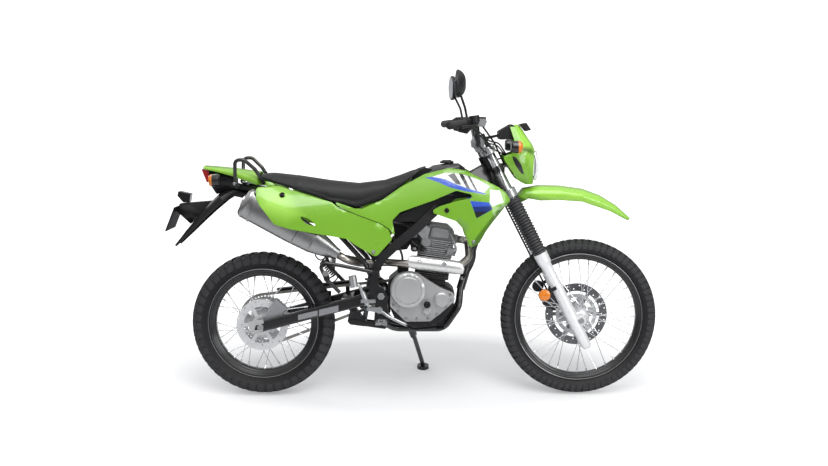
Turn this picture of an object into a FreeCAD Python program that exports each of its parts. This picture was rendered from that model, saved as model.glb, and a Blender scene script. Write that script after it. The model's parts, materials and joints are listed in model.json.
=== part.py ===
# Dual sport motorcycle with a single cylinder engine, built upright and then leaned on its side stand.
# In the upright frame x points forwards, y to the rider's left and z up, in millimetres.
# x is 0 half way between the axles and z is 0 at the ground.
import FreeCAD, Part
import math
import os
from FreeCAD import Placement, Rotation, Vector

os.makedirs("parts", exist_ok=True)
doc = FreeCAD.newDocument("dual_sport_motorcycle")
sheet = doc.addObject("Spreadsheet::Sheet", "Sizes")

# Driving dimensions: name and value in millimetres or degrees
SIZES = (
    ("wheelbase", 1380),
    ("front_axle_x", 690),
    ("rake_angle", 27),
    ("trail", 116),
    ("lean_angle", 10),
    ("running_gap", 0.5),
    ("seat_gap", 0.3),
    # Wheels
    ("front_tyre_radius", 341),
    ("front_tyre_width", 80),
    ("rear_tyre_radius", 313),
    ("rear_tyre_width", 110),
    ("front_tread_rows", 66),
    ("rear_tread_rows", 60),
    ("front_rim_radius", 279),
    ("front_rim_width", 50),
    ("front_rim_depth", 27),
    ("rear_rim_radius", 241),
    ("rear_rim_width", 64),
    ("rear_rim_depth", 33),
    ("rim_flange_height", 12),
    ("rim_wall", 3.5),
    ("spoke_count", 36),
    ("spoke_radius", 1.9),
    ("axle_radius", 8),
    ("front_hub_length", 90),
    ("front_hub_radius", 20),
    ("front_flange_radius", 46),
    ("rear_hub_length", 116),
    ("rear_hub_radius", 30),
    ("rear_flange_radius", 62),
    ("flange_thickness", 6),
    ("front_disc_radius", 137),
    ("rear_disc_radius", 112),
    ("disc_thickness", 4),
    ("disc_register_radius", 30),
    # Chain drive
    ("chain_pitch", 15.875),
    ("rear_sprocket_teeth", 45),
    ("front_sprocket_teeth", 14),
    ("chain_line", 70),
    ("sprocket_thickness", 5),
    ("chain_inner_gap", 6.6),
    ("chain_plate", 2.4),
    ("chain_plate_height", 15),
    ("roller_radius", 5),
    # Fork and steering
    ("fork_spacing", 190),
    ("axle_lead", 29),
    ("stanchion_radius", 18.5),
    ("stanchion_top", 846),
    ("lower_leg_radius", 25.5),
    ("lower_leg_top", 340),
    ("lower_leg_bottom", -120),
    ("gaiter_radius", 31),
    ("gaiter_length", 266),
    ("gaiter_ribs", 19),
    ("clamp_boss_radius", 29),
    ("lower_clamp_height", 612),
    ("lower_clamp_thickness", 36),
    ("upper_clamp_height", 817),
    ("upper_clamp_thickness", 26),
    ("stem_radius", 13),
    ("head_tube_radius", 29),
    ("handlebar_radius", 11.1),
    ("handlebar_half_width", 412),
    ("grip_radius", 16.5),
    ("grip_length", 122),
    # Side stand
    ("stand_x", -40),
    ("stand_y", 88),
    ("stand_z", 266),
    ("stand_foot_x", 12),
    ("stand_foot_y", 262),
    ("stand_foot_thickness", 6),
    ("stand_leg_radius", 10),
    ("stand_ear_thickness", 9),
    # Place of the upright frame's origin in the part's frame, before the lean
    ("origin_x", 32.163),
    ("origin_y", -212.326),
    # Frame and swingarm
    ("pivot_x", -171),
    ("pivot_z", 450),
    ("pivot_radius", 11),
    ("spar_width", 30),
    ("spar_height", 40),
    ("pivot_plate_thickness", 17),
    ("down_tube_radius", 19),
    ("cradle_radius", 14),
    ("rail_radius", 12.5),
    ("swingarm_inner", 88),
    ("swingarm_wall", 25),
    ("swingarm_front_height", 50),
    ("swingarm_rear_height", 46),
    # Engine
    ("crank_x", 34),
    ("crank_z", 438),
    ("cylinder_tilt", 8),
    ("deck_height", 76),
    ("cylinder_height", 102),
    ("port_height", 260),
    ("cylinder_fins", 8),
    ("head_fins", 6),
    ("fin_thickness", 3),
    ("clutch_cover_radius", 78),
    ("generator_cover_radius", 64),
    ("header_radius", 16),
    ("muffler_height", 132),
    ("muffler_width", 92),
    # Body panels
    ("panel_wall", 3),
    ("seat_width", 232),
    ("fender_width", 150),
    ("mudguard_width", 146),
    ("tail_width", 190),
)
for row, (alias, value) in enumerate(SIZES, start=1):
    sheet.set("A%d" % row, alias)
    sheet.set("B%d" % row, str(value))
    sheet.setAlias("B%d" % row, alias)
doc.recompute()


class Size:
    """A length or angle together with the spreadsheet expression that gives it."""

    def __init__(self, value, text):
        self.value = float(value)
        self.text = text

    def __add__(self, other):
        other = as_size(other)
        return Size(self.value + other.value, "(%s + %s)" % (self.text, other.text))

    def __sub__(self, other):
        other = as_size(other)
        return Size(self.value - other.value, "(%s - %s)" % (self.text, other.text))

    def __mul__(self, other):
        other = as_size(other)
        return Size(self.value * other.value, "(%s * %s)" % (self.text, other.text))

    def __truediv__(self, other):
        other = as_size(other)
        return Size(self.value / other.value, "(%s / %s)" % (self.text, other.text))

    def __neg__(self):
        return Size(-self.value, "(0 - %s)" % self.text)

    def __float__(self):
        return self.value

    __radd__ = __add__
    __rmul__ = __mul__


def as_size(number):
    if isinstance(number, Size):
        return number
    return Size(number, repr(float(number)))


def size(alias):
    return Size(sheet.get(alias), "Sizes." + alias)


def num(alias):
    return float(sheet.get(alias))


def bind(item, prop, value):
    """Ties one property of a document object to the spreadsheet."""
    value = as_size(value)
    setattr(item, prop, value.value)
    item.setExpression(prop, value.text)


# Derived places in the upright frame
RAKE = math.radians(num("rake_angle"))
GAP = num("seat_gap")
AXLE_OFFSET = num("front_tyre_radius") * math.sin(RAKE) - num("trail") * math.cos(RAKE)
CLAMP_OFFSET = AXLE_OFFSET - num("axle_lead")
FRONT_AXLE = Vector(num("front_axle_x"), 0, num("front_tyre_radius"))
REAR_AXLE = Vector(num("front_axle_x") - num("wheelbase"), 0, num("rear_tyre_radius"))
STEER_BASE = FRONT_AXLE - Vector(math.cos(RAKE), 0, math.sin(RAKE)) * AXLE_OFFSET
STEER = Placement(STEER_BASE, Rotation(Vector(0, 1, 0), -num("rake_angle")))
PIVOT = Vector(num("pivot_x"), 0, num("pivot_z"))
HALF_FORK = num("fork_spacing") / 2
HEAD_LOW = num("lower_clamp_height") + num("lower_clamp_thickness") + num("running_gap")
HEAD_HIGH = num("upper_clamp_height") - num("running_gap")
UPRIGHT = Placement()
pieces = []


def steer_point(u, y, w):
    """A point of the steering frame, with w along the steering axis, in the upright frame."""
    return STEER.multVec(Vector(u, y, w))


def piece(item, label, local=UPRIGHT):
    """Registers a finished sub-part: its label names its file, and local carries it to the upright frame."""
    item.Label = label
    pieces.append((item, label, local))
    return item


# Shapes that many sub-parts share
def add(kind, name, **values):
    item = doc.addObject(kind, name)
    for prop, value in values.items():
        bind(item, prop, value)
    return item


def at(item, place, direction=None):
    """Moves an object to place with its own z axis along direction."""
    turn = Rotation(Vector(0, 0, 1), Vector(direction)) if direction is not None else Rotation()
    item.Placement = Placement(Vector(place), turn)
    return item


def rod(name, start, end, radius):
    start, end = Vector(start), Vector(end)
    item = add("Part::Cylinder", name, Radius=radius, Height=(end - start).Length)
    return at(item, start, end - start)


def block(name, low, high):
    low, high = Vector(low), Vector(high)
    step = high - low
    return at(add("Part::Box", name, Length=step.x, Width=step.y, Height=step.z), low)


def fuse(name, items):
    item = doc.addObject("Part::MultiFuse", name)
    item.Shapes = list(items)
    item.Refine = True
    return item


def cut(name, base, tools):
    item = doc.addObject("Part::Cut", name)
    item.Base = base
    item.Tool = tools[0] if len(tools) == 1 else fuse(name + "_tools", tools)
    item.Refine = True
    return item


def both_in_one(name, items):
    item = doc.addObject("Part::Compound", name)
    item.Links = list(items)
    return item


def mirrored(name, source):
    item = doc.addObject("Part::Mirroring", name)
    item.Source = source
    item.Base = Vector(0, 0, 0)
    item.Normal = Vector(0, 1, 0)
    return item


def pair(name, right):
    """A piece and its mirror image across the bike's middle plane, as two solids of one node."""
    return both_in_one(name, [right, mirrored(name + "_other", right)])


def curve(name, shape):
    item = doc.addObject("Part::Feature", name)
    item.Shape = shape
    return item


def bent_path(points, bend):
    """Straight runs joined by tangent arcs, each as large as bend and its runs allow."""
    points = [Vector(p) for p in points]
    edges = []
    here = points[0]
    for before, corner, after in zip(points, points[1:], points[2:]):
        back = (before - corner).normalize()
        ahead = (after - corner).normalize()
        turn = math.pi - back.getAngle(ahead)
        if turn < 0.01:
            continue
        room = 0.45 * min((before - corner).Length, (after - corner).Length)
        reach = min(bend * math.tan(turn / 2), room)
        radius = reach / math.tan(turn / 2)
        middle = (back + ahead).normalize()
        centre = corner + middle * (radius / math.cos(turn / 2))
        first, last = corner + back * reach, corner + ahead * reach
        if (first - here).Length > 1e-3:
            edges.append(Part.LineSegment(here, first).toShape())
        edges.append(Part.Arc(first, centre - middle * radius, last).toShape())
        here = last
    edges.append(Part.LineSegment(here, points[-1]).toShape())
    return Part.Wire(edges)


def tube(name, points, radius, bend=60):
    """A round bar swept along straight runs and arcs."""
    wire = bent_path(points, bend)
    path = curve(name + "_path", wire)
    ring = add("Part::Circle", name + "_ring", Radius=radius)
    at(ring, points[0], Vector(points[1]) - Vector(points[0]))
    item = doc.addObject("Part::Sweep", name)
    item.Sections = [ring]
    item.Spine = (path, ["Edge%d" % (i + 1) for i in range(len(wire.Edges))])
    item.Solid = True
    item.Frenet = False
    return item


def outline(points, round_off=0.0):
    """A closed wire in the xz plane through points (x, z), with its corners rounded."""
    count = len(points)
    flat = [Vector(x, 0, z) for x, z in points]
    if round_off <= 0:
        return Part.makePolygon(flat + [flat[0]])
    edges, ends = [], []
    for i in range(count):
        before, corner, after = flat[i - 1], flat[i], flat[(i + 1) % count]
        back, ahead = (before - corner), (after - corner)
        room = 0.45 * min(back.Length, ahead.Length)
        back.normalize()
        ahead.normalize()
        turn = math.pi - back.getAngle(ahead)
        reach = min(round_off * math.tan(turn / 2), room)
        radius = reach / math.tan(turn / 2)
        middle = (back + ahead).normalize()
        centre = corner + middle * (radius / math.cos(turn / 2))
        ends.append((corner + back * reach, centre - middle * radius, corner + ahead * reach))
    for i in range(count):
        first, top, last = ends[i]
        edges.append(Part.Arc(first, top, last).toShape())
        following = ends[(i + 1) % count][0]
        if (following - last).Length > 1e-3:
            edges.append(Part.LineSegment(last, following).toShape())
    return Part.Wire(edges)


def slab(name, points, y_low, y_high, round_off=0.0):
    """A plate with a rounded outline in the xz plane, from y_low to y_high."""
    wire = outline(points, round_off)
    wire.translate(Vector(0, float(as_size(y_low)), 0))
    item = doc.addObject("Part::Extrusion", name)
    item.Base = curve(name + "_outline", wire)
    item.DirMode = "Custom"
    item.Dir = Vector(0, 1, 0)
    bind(item, "LengthFwd", as_size(y_high) - as_size(y_low))
    item.Solid = True
    return item


def link_outline(first, first_radius, second, second_radius):
    """The outline of a flat link: two round ends and the two lines that touch both."""
    a, b = Vector(first[0], 0, first[1]), Vector(second[0], 0, second[1])
    along = b - a
    spread = math.acos((first_radius - second_radius) / along.Length)
    along.normalize()
    side = Vector(-along.z, 0, along.x)

    def rim(centre, radius, angle):
        return centre + (along * math.cos(angle) + side * math.sin(angle)) * radius

    return Part.Wire([
        Part.LineSegment(rim(a, first_radius, spread), rim(b, second_radius, spread)).toShape(),
        Part.Arc(rim(b, second_radius, spread), rim(b, second_radius, 0), rim(b, second_radius, -spread)).toShape(),
        Part.LineSegment(rim(b, second_radius, -spread), rim(a, first_radius, -spread)).toShape(),
        Part.Arc(rim(a, first_radius, -spread), rim(a, first_radius, math.pi), rim(a, first_radius, spread)).toShape(),
    ])


def link(name, first, first_radius, second, second_radius, y_low, y_high):
    """A flat link with round ends in the xz plane, from y_low to y_high."""
    wire = link_outline(first, first_radius, second, second_radius)
    wire.translate(Vector(0, float(y_low), 0))
    item = doc.addObject("Part::Extrusion", name)
    item.Base = curve(name + "_outline", wire)
    item.DirMode = "Custom"
    item.Dir = Vector(0, 1, 0)
    bind(item, "LengthFwd", as_size(y_high) - as_size(y_low))
    item.Solid = True
    return item


def turned(name, profile, base=(0, 0, 0), axis=(0, 1, 0)):
    """A turned piece: profile holds (along, radius) pairs, and the piece is turned about axis through base."""
    axis = Vector(axis).normalize()
    across = Vector(1, 0, 0) if abs(axis.x) < 0.9 else Vector(0, 0, 1)
    across = (across - axis * across.dot(axis)).normalize()
    points = [Vector(base) + axis * float(a) + across * float(r) for a, r in profile]
    face = Part.Face(Part.makePolygon(points + [points[0]]))
    item = doc.addObject("Part::Revolution", name)
    item.Source = curve(name + "_profile", face)
    item.Axis = axis
    item.Base = Vector(base)
    item.Angle = 360
    item.Solid = True
    return item


def loft(name, wires, ruled=False):
    item = doc.addObject("Part::Loft", name)
    item.Sections = [curve("%s_section_%d" % (name, i), w) for i, w in enumerate(wires)]
    item.Solid = True
    item.Ruled = ruled
    return item


def spline(points):
    line = Part.BSplineCurve()
    line.interpolate([Vector(p) for p in points])
    return line.toShape()


def channel_section(place, along, half_width, height, wall, crown=0.35, flare=0.0):
    """A thin inverted U across the direction along: its top middle is at place and its legs reach down by height."""
    along = Vector(along).normalize()
    side = Vector(0, 1, 0)
    up = side.cross(along).normalize() * -1
    if up.z < 0:
        up = up * -1
    place = Vector(place)

    def at_side(s, drop, inset):
        return place + side * (s * (half_width - inset)) - up * drop

    def shell(inset):
        shoulder = crown * height
        return [
            at_side(-1 - flare, height, inset),
            at_side(-1, shoulder + inset * 0.6, inset),
            at_side(-0.72, shoulder * 0.32 + inset, inset),
            at_side(0, inset, inset),
            at_side(0.72, shoulder * 0.32 + inset, inset),
            at_side(1, shoulder + inset * 0.6, inset),
            at_side(1 + flare, height, inset),
        ]

    outer, inner = shell(0), shell(wall)
    return Part.Wire([
        spline(outer),
        Part.LineSegment(outer[-1], inner[-1]).toShape(),
        spline(list(reversed(inner))),
        Part.LineSegment(inner[0], outer[0]).toShape(),
    ])


def box_section(place, along, width, height):
    """A rectangle across the direction along, upright in the xz plane."""
    along = Vector(along).normalize()
    side = Vector(0, 1, 0)
    up = along.cross(side).normalize()
    side = up.cross(along).normalize()
    corners = [
        Vector(place) + side * (sy * width / 2) + up * (sz * height / 2)
        for sy, sz in ((-1, -1), (1, -1), (1, 1), (-1, 1))
    ]
    return Part.makePolygon(corners + [corners[0]])


def rounded_box_section(place, along, width, height, round_off):
    """A rectangle with rounded corners across the direction along."""
    along = Vector(along).normalize()
    side = Vector(0, 1, 0)
    up = along.cross(side).normalize()
    side = up.cross(along).normalize()
    place = Vector(place)
    edges = []
    corners = ((1, 1), (-1, 1), (-1, -1), (1, -1))
    w, h, r = width / 2, height / 2, round_off
    marks = []
    for sy, sz in corners:
        centre = place + side * (sy * (w - r)) + up * (sz * (h - r))
        if sy * sz > 0:
            first, last = side * (sy * r), up * (sz * r)
        else:
            first, last = up * (sz * r), side * (sy * r)
        middle = (first + last).normalize() * r
        marks.append((centre + first, centre + middle, centre + last))
    for i, (first, middle, last) in enumerate(marks):
        edges.append(Part.Arc(first, middle, last).toShape())
        edges.append(Part.LineSegment(last, marks[(i + 1) % 4][0]).toShape())
    return Part.Wire(edges)


def skin(name, depth_at, xs, zs, outline_points, wall, round_off, side=-1):
    """A moulded panel: the smooth surface y = depth_at(x, z), cut to an outline and given its wall."""
    surface = Part.BSplineSurface()
    surface.interpolate([[Vector(x, side * depth_at(x, z), z) for z in zs] for x in xs])
    sheet_solid = surface.toShape().extrude(Vector(0, -side * wall, 0))
    wire = outline(outline_points, round_off)
    wire.translate(Vector(0, -400, 0))
    frame_solid = Part.Face(wire).extrude(Vector(0, 800, 0))
    item = doc.addObject("Part::MultiCommon", name)
    item.Shapes = [curve(name + "_surface", sheet_solid), curve(name + "_frame", frame_solid)]
    return item


def shell_section(along_x, half_width, top, bottom, shoulder=0.8, drop=0.12, foot=0.94):
    """A closed section at one x: a crowned top between flat sides and a flat underside."""
    height = top - bottom
    crown = [
        Vector(along_x, -half_width, bottom + height * 0.35),
        Vector(along_x, -half_width * shoulder, top - height * drop),
        Vector(along_x, 0, top),
        Vector(along_x, half_width * shoulder, top - height * drop),
        Vector(along_x, half_width, bottom + height * 0.35),
    ]
    low_right = Vector(along_x, -half_width * foot, bottom)
    low_left = Vector(along_x, half_width * foot, bottom)
    return Part.Wire([
        spline(crown),
        Part.LineSegment(crown[-1], low_left).toShape(),
        Part.LineSegment(low_left, low_right).toShape(),
        Part.LineSegment(low_right, crown[0]).toShape(),
    ])


# Wheels: each is modelled about its own axle, which is the y axis there
def tyre_profile(radius, width, rim_radius, rim_width, rows):
    """The right half of a tyre's section, as (across, radius) pairs from its bead to its crown."""
    bead = rim_width / 2 - num("rim_wall") - GAP
    seat = (rim_radius - num("rim_flange_height") + GAP) / math.cos(math.pi / rows)
    belly = (radius + rim_radius) / 2
    half = width / 2
    return [(bead, seat), (bead, rim_radius + 2), (half, belly), (half * 0.72, radius - half * 0.2)]


def tyre(name, right, radius, rows):
    """A tyre out to the tips of its tread blocks: each row of blocks round it is one flat facet."""
    section = right + [(0, radius)] + [(-a, r) for a, r in reversed(right)]
    rings = []
    for i in range(rows):
        swing = 2 * math.pi * i / rows - math.pi / 2
        rings.append([Vector(r * math.cos(swing), a, r * math.sin(swing)) for a, r in section])
    faces = []
    for here, ahead in zip(rings, rings[1:] + rings[:1]):
        for k in range(len(section)):
            corners = [here[k - 1], here[k], ahead[k], ahead[k - 1]]
            faces.append(Part.Face(Part.makePolygon(corners + corners[:1])))
    body = Part.Solid(Part.Shell(faces))
    if body.Volume < 0:
        body.reverse()
    return curve(name, body)


def rim(name, radius, width, depth):
    """A spoked wheel's rim: two flanges, bead seats and a rounded bed below them."""
    half = width / 2
    wall = num("rim_wall")
    seat = radius - num("rim_flange_height")
    bed = radius - depth
    right = [(half, radius), (half, seat - wall), (half * 0.5, bed)]
    inside = [(half - wall, radius), (half - wall, seat)]
    left = [(-a, r) for a, r in reversed(right)]
    return turned(name, right + left + [(-a, r) for a, r in inside] + list(reversed(inside)))


def hub_with_spokes(name, length, body_radius, flange_radius, flange_at, rim_inner):
    """A wheel hub with two spoke flanges and its laced spokes, which end at the rim's bed."""
    bore = num("axle_radius") + num("running_gap")
    half, thick = length / 2, num("flange_thickness") / 2
    profile = [(-half, bore), (-half, body_radius * 0.8), (-flange_at - thick, body_radius)]
    profile += [(-flange_at - thick, flange_radius), (-flange_at + thick, flange_radius)]
    profile += [(-flange_at + thick, body_radius), (flange_at - thick, body_radius)]
    profile += [(flange_at - thick, flange_radius), (flange_at + thick, flange_radius)]
    profile += [(flange_at + thick, body_radius), (half, body_radius * 0.8), (half, bore)]
    parts = [turned(name + "_body", profile)]
    count = int(num("spoke_count"))
    spoke = size("spoke_radius")
    for i in range(count):
        side = 1 if i % 2 else -1
        trail_way = 1 if (i // 2) % 2 else -1
        reach = math.radians(360.0 * i / count)
        start = reach + trail_way * math.radians(48)
        foot = flange_radius - spoke.value * 2
        y_foot = side * (flange_at + trail_way * thick * 0.6)
        a = Vector(foot * math.cos(start), y_foot, foot * math.sin(start))
        b = Vector(rim_inner * math.cos(reach), side * 4, rim_inner * math.sin(reach))
        rod_item = doc.addObject("Part::Prism", "%s_spoke_%d" % (name, i))
        rod_item.Polygon = 6
        bind(rod_item, "Circumradius", spoke)
        rod_item.Height = (b - a).Length
        parts.append(at(rod_item, a, b - a))
    return fuse(name, parts)


def brake_disc(name, radius, band, holes, arms, register, y_at):
    """A drilled brake disc: a flat ring on arms that reach in to the hub."""
    thick = size("disc_thickness")
    outer = at(add("Part::Cylinder", name + "_outer", Radius=radius, Height=thick), (0, y_at, 0), (0, 1, 0))
    inner = at(add("Part::Cylinder", name + "_inner", Radius=radius - band, Height=thick * 3),
               (0, y_at - thick.value, 0), (0, 1, 0))
    ring = cut(name + "_ring", outer, [inner])
    reach = float(as_size(radius - band)) + 4
    spokes = []
    for i in range(arms):
        turn = 360.0 * i / arms
        arm = add("Part::Box", "%s_arm_%d" % (name, i), Length=reach, Width=thick, Height=16)
        arm.Placement = Placement(Vector(0, y_at, 0), Rotation(Vector(0, 1, 0), turn)).multiply(
            Placement(Vector(0, 0, -8), Rotation()))
        spokes.append(arm)
    carrier = at(add("Part::Cylinder", name + "_carrier", Radius=register + 14, Height=thick), (0, y_at, 0), (0, 1, 0))
    bore = at(add("Part::Cylinder", name + "_bore", Radius=register, Height=thick * 3),
              (0, y_at - thick.value, 0), (0, 1, 0))
    drills = [bore]
    middle = float(as_size(radius)) - float(as_size(band)) / 2
    for i in range(holes):
        swing = 2 * math.pi * i / holes
        row = middle + (float(as_size(band)) * 0.22) * (1 if i % 2 else -1)
        hole = at(add("Part::Cylinder", "%s_hole_%d" % (name, i), Radius=3.2, Height=thick * 3),
                  (row * math.cos(swing), y_at - thick.value, row * math.sin(swing)), (0, 1, 0))
        drills.append(hole)
    return cut(name, fuse(name + "_plate", [ring, carrier] + spokes), drills)


FRONT = Placement(FRONT_AXLE, Rotation())
REAR = Placement(REAR_AXLE, Rotation())
front_bed = num("front_rim_radius") - num("front_rim_depth")
rear_bed = num("rear_rim_radius") - num("rear_rim_depth")
front_rows = int(num("front_tread_rows"))
rear_rows = int(num("rear_tread_rows"))
front_profile = tyre_profile(num("front_tyre_radius"), num("front_tyre_width"),
                             num("front_rim_radius"), num("front_rim_width"), front_rows)
rear_profile = tyre_profile(num("rear_tyre_radius"), num("rear_tyre_width"),
                            num("rear_rim_radius"), num("rear_rim_width"), rear_rows)
piece(tyre("FrontTyre", front_profile, num("front_tyre_radius"), front_rows), "front_tyre", FRONT)
piece(rim("FrontRim", num("front_rim_radius"), num("front_rim_width"), num("front_rim_depth")), "front_rim", FRONT)
piece(hub_with_spokes("FrontHub", num("front_hub_length"), num("front_hub_radius"), num("front_flange_radius"),
                      30, front_bed - GAP), "front_hub", FRONT)
piece(brake_disc("FrontDisc", size("front_disc_radius"), 34, 30, 6, size("disc_register_radius"),
                 num("front_hub_length") / 2 + GAP + 4), "front_disc", FRONT)
piece(tyre("RearTyre", rear_profile, num("rear_tyre_radius"), rear_rows), "rear_tyre", REAR)
piece(rim("RearRim", num("rear_rim_radius"), num("rear_rim_width"), num("rear_rim_depth")), "rear_rim", REAR)
piece(hub_with_spokes("RearHub", num("rear_hub_length"), num("rear_hub_radius"), num("rear_flange_radius"),
                      38, rear_bed - GAP), "rear_hub", REAR)
piece(brake_disc("RearDisc", size("rear_disc_radius"), 32, 24, 6, size("disc_register_radius"),
                 -num("rear_hub_length") / 2 - GAP - num("disc_thickness")), "rear_disc", REAR)


# Chain drive on the left side
def pitch_radius(teeth):
    return num("chain_pitch") / (2 * math.sin(math.pi / num(teeth)))


REAR_PITCH = pitch_radius("rear_sprocket_teeth")
FRONT_PITCH = pitch_radius("front_sprocket_teeth")
SPROCKET_AT = Vector(num("pivot_x") + 84, 0, num("pivot_z") + 8)
CHAIN_Y = num("chain_line")


def sprocket(name, teeth, pitch, bore):
    """A toothed plate whose teeth reach the rollers' undersides."""
    count = int(num(teeth))
    tip = pitch - num("roller_radius") - GAP
    root = tip - 6
    points = []
    for i in range(count):
        middle = 2 * math.pi * i / count
        step = 2 * math.pi / count
        for swing, reach in ((-0.34, root), (-0.13, tip), (0.13, tip), (0.34, root)):
            points.append((reach * math.cos(middle + swing * step), reach * math.sin(middle + swing * step)))
    half = num("sprocket_thickness") / 2
    plate = slab(name + "_plate", points, CHAIN_Y - half, CHAIN_Y + half)
    hole = at(add("Part::Cylinder", name + "_bore", Radius=bore, Height=size("sprocket_thickness") * 3),
              (0, CHAIN_Y - 3 * half, 0), (0, 1, 0))
    return plate, hole


rear_plate, rear_hole = sprocket("RearSprocket", "rear_sprocket_teeth", REAR_PITCH, size("disc_register_radius"))
windows = [rear_hole]
for i in range(6):
    swing = 2 * math.pi * (i + 0.5) / 6
    windows.append(at(add("Part::Cylinder", "RearSprocket_window_%d" % i, Radius=18,
                          Height=size("sprocket_thickness") * 3),
                      (74 * math.cos(swing), CHAIN_Y - 8, 74 * math.sin(swing)), (0, 1, 0)))
carrier_base = num("rear_hub_length") / 2 + GAP
carrier = turned("SprocketCarrier", [
    (carrier_base, 12), (carrier_base, 52), (CHAIN_Y - num("sprocket_thickness") / 2, 46),
    (CHAIN_Y + 4, 34), (CHAIN_Y + 4, 12)])
rear_sprocket = fuse("RearSprocketAssembly", [cut("RearSprocket", rear_plate, windows), carrier])
piece(rear_sprocket, "rear_sprocket", REAR)

front_plate, front_hole = sprocket("FrontSprocket", "front_sprocket_teeth", FRONT_PITCH, size("axle_radius") + GAP)
front_sprocket = cut("FrontSprocket", front_plate, [front_hole])
front_sprocket.Placement = Placement(SPROCKET_AT, Rotation())


def chain_loop():
    """The closed loop: two side bands over both sprockets, joined by the rollers."""
    front = (SPROCKET_AT.x, SPROCKET_AT.z)
    rear = (REAR_AXLE.x, REAR_AXLE.z)
    rise = num("chain_plate_height") / 2
    inner, plate = num("chain_inner_gap") / 2, num("chain_plate") * 2
    parts = []
    for side in (-1, 1):
        y_low = CHAIN_Y + (inner if side > 0 else -inner - plate)
        outer = link("ChainOuter_%d" % (side + 1), rear, REAR_PITCH + rise, front, FRONT_PITCH + rise,
                     y_low, y_low + plate)
        hole = link("ChainInner_%d" % (side + 1), rear, REAR_PITCH - rise, front, FRONT_PITCH - rise,
                    y_low - 5, y_low + plate + 5)
        parts.append(cut("ChainBand_%d" % (side + 1), outer, [hole]))
    path = link_outline(rear, REAR_PITCH, front, FRONT_PITCH)
    count = int(round(path.Length / num("chain_pitch")))
    for i, spot in enumerate(path.discretize(Number=count + 1)[:-1]):
        roller = add("Part::Prism", "ChainRoller_%d" % i, Circumradius=size("roller_radius"), Height=2 * inner)
        roller.Polygon = 4
        parts.append(at(roller, (spot.x, CHAIN_Y - inner, spot.z), (0, 1, 0)))
    return fuse("Chain", parts)


piece(both_in_one("DriveChain", [chain_loop(), front_sprocket]), "drive_chain")

# Front axle, fork and steering, in the steering frame where z runs up the steering axis
AXLE_R = size("axle_radius")
axle_end = HALF_FORK + 26
axle = rod("FrontAxleBar", (AXLE_OFFSET, -axle_end, 0), (AXLE_OFFSET, axle_end, 0), AXLE_R)
hub_half = num("front_hub_length") / 2
leg_inner = HALF_FORK - num("lower_leg_radius") + 3
sleeves = []
for side in (-1, 1):
    sleeves.append(rod("FrontAxleSleeve_%d" % (side + 1), (AXLE_OFFSET, side * (hub_half + num("running_gap")), 0),
                       (AXLE_OFFSET, side * (leg_inner - GAP), 0), AXLE_R + 5))
nut = add("Part::Prism", "FrontAxleNut", Circumradius=AXLE_R * 1.75, Height=9)
nut.Polygon = 6
at(nut, (AXLE_OFFSET, axle_end - 9, 0), (0, 1, 0))
head = add("Part::Prism", "FrontAxleHead", Circumradius=AXLE_R * 1.6, Height=8)
head.Polygon = 6
at(head, (AXLE_OFFSET, -axle_end, 0), (0, 1, 0))
piece(fuse("FrontAxle", [axle, nut, head] + sleeves), "front_axle", STEER)

STANCHION = size("stanchion_radius")
LEG_TOP = num("lower_leg_top")


def lower_leg():
    y = -HALF_FORK
    radius = num("lower_leg_radius")
    low = num("lower_leg_bottom")
    leg = turned("LowerLeg_tube", [
        (low, 0), (low, radius * 0.62), (low + 12, radius * 0.86), (20, radius), (LEG_TOP - 60, radius - 1.5),
        (LEG_TOP - 42, radius + 4), (LEG_TOP, radius + 5), (LEG_TOP, 0)],
        base=(CLAMP_OFFSET, y, 0), axis=(0, 0, 1))
    half = axle_end - 9 - HALF_FORK - GAP
    lug = rod("LowerLeg_lug", (AXLE_OFFSET, y - half, 0), (AXLE_OFFSET, -leg_inner, 0), 19)
    axle_hole = rod("LowerLeg_axle_hole", (AXLE_OFFSET, -axle_end - 5, 0), (AXLE_OFFSET, -40, 0), AXLE_R + GAP)
    head_room = rod("LowerLeg_head_room", (AXLE_OFFSET, y - half, 0), (AXLE_OFFSET, -axle_end - 20, 0), 15)
    bore = rod("LowerLeg_bore", (CLAMP_OFFSET, y, LEG_TOP - 40), (CLAMP_OFFSET, y, LEG_TOP + 5), STANCHION + GAP)
    return cut("LowerLeg", fuse("LowerLeg_form", [leg, lug]), [axle_hole, head_room, bore])


piece(pair("ForkLowerLegs", lower_leg()), "fork_lower_legs", STEER)
stanchion = rod("Stanchion", (CLAMP_OFFSET, -HALF_FORK, LEG_TOP - 40 + GAP),
                (CLAMP_OFFSET, -HALF_FORK, num("stanchion_top")), STANCHION)
piece(pair("ForkStanchions", stanchion), "fork_stanchions", STEER)


def gaiter():
    """A bellows boot round one stanchion, from the lower leg's collar to the lower clamp."""
    ribs = int(num("gaiter_ribs"))
    start, length = LEG_TOP + GAP, num("gaiter_length") - GAP
    step = length / ribs
    outer = num("gaiter_radius")
    profile = [(start, STANCHION.value + GAP), (start, outer)]
    for i in range(ribs):
        profile.append((start + (i + 0.5) * step, outer - 5.5))
        profile.append((start + (i + 1) * step, outer))
    profile.append((start + length, STANCHION.value + GAP))
    return turned("Gaiter", profile, base=(CLAMP_OFFSET, -HALF_FORK, 0), axis=(0, 0, 1))


piece(pair("ForkGaiters", gaiter()), "fork_gaiters", STEER)


def clamp_plate(name, low, thick):
    boss = size("clamp_boss_radius")
    forms = [rod(name + "_neck", (0, 0, low), (0, 0, low + thick), boss * 0.75)]
    for side in (-1, 1):
        forms.append(rod("%s_boss_%d" % (name, side + 1), (CLAMP_OFFSET, side * HALF_FORK, low),
                         (CLAMP_OFFSET, side * HALF_FORK, low + thick), boss))
    forms.append(block(name + "_bridge", (-12, -HALF_FORK, low + 3), (CLAMP_OFFSET + 18, HALF_FORK, low + thick - 3)))
    return forms


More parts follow.
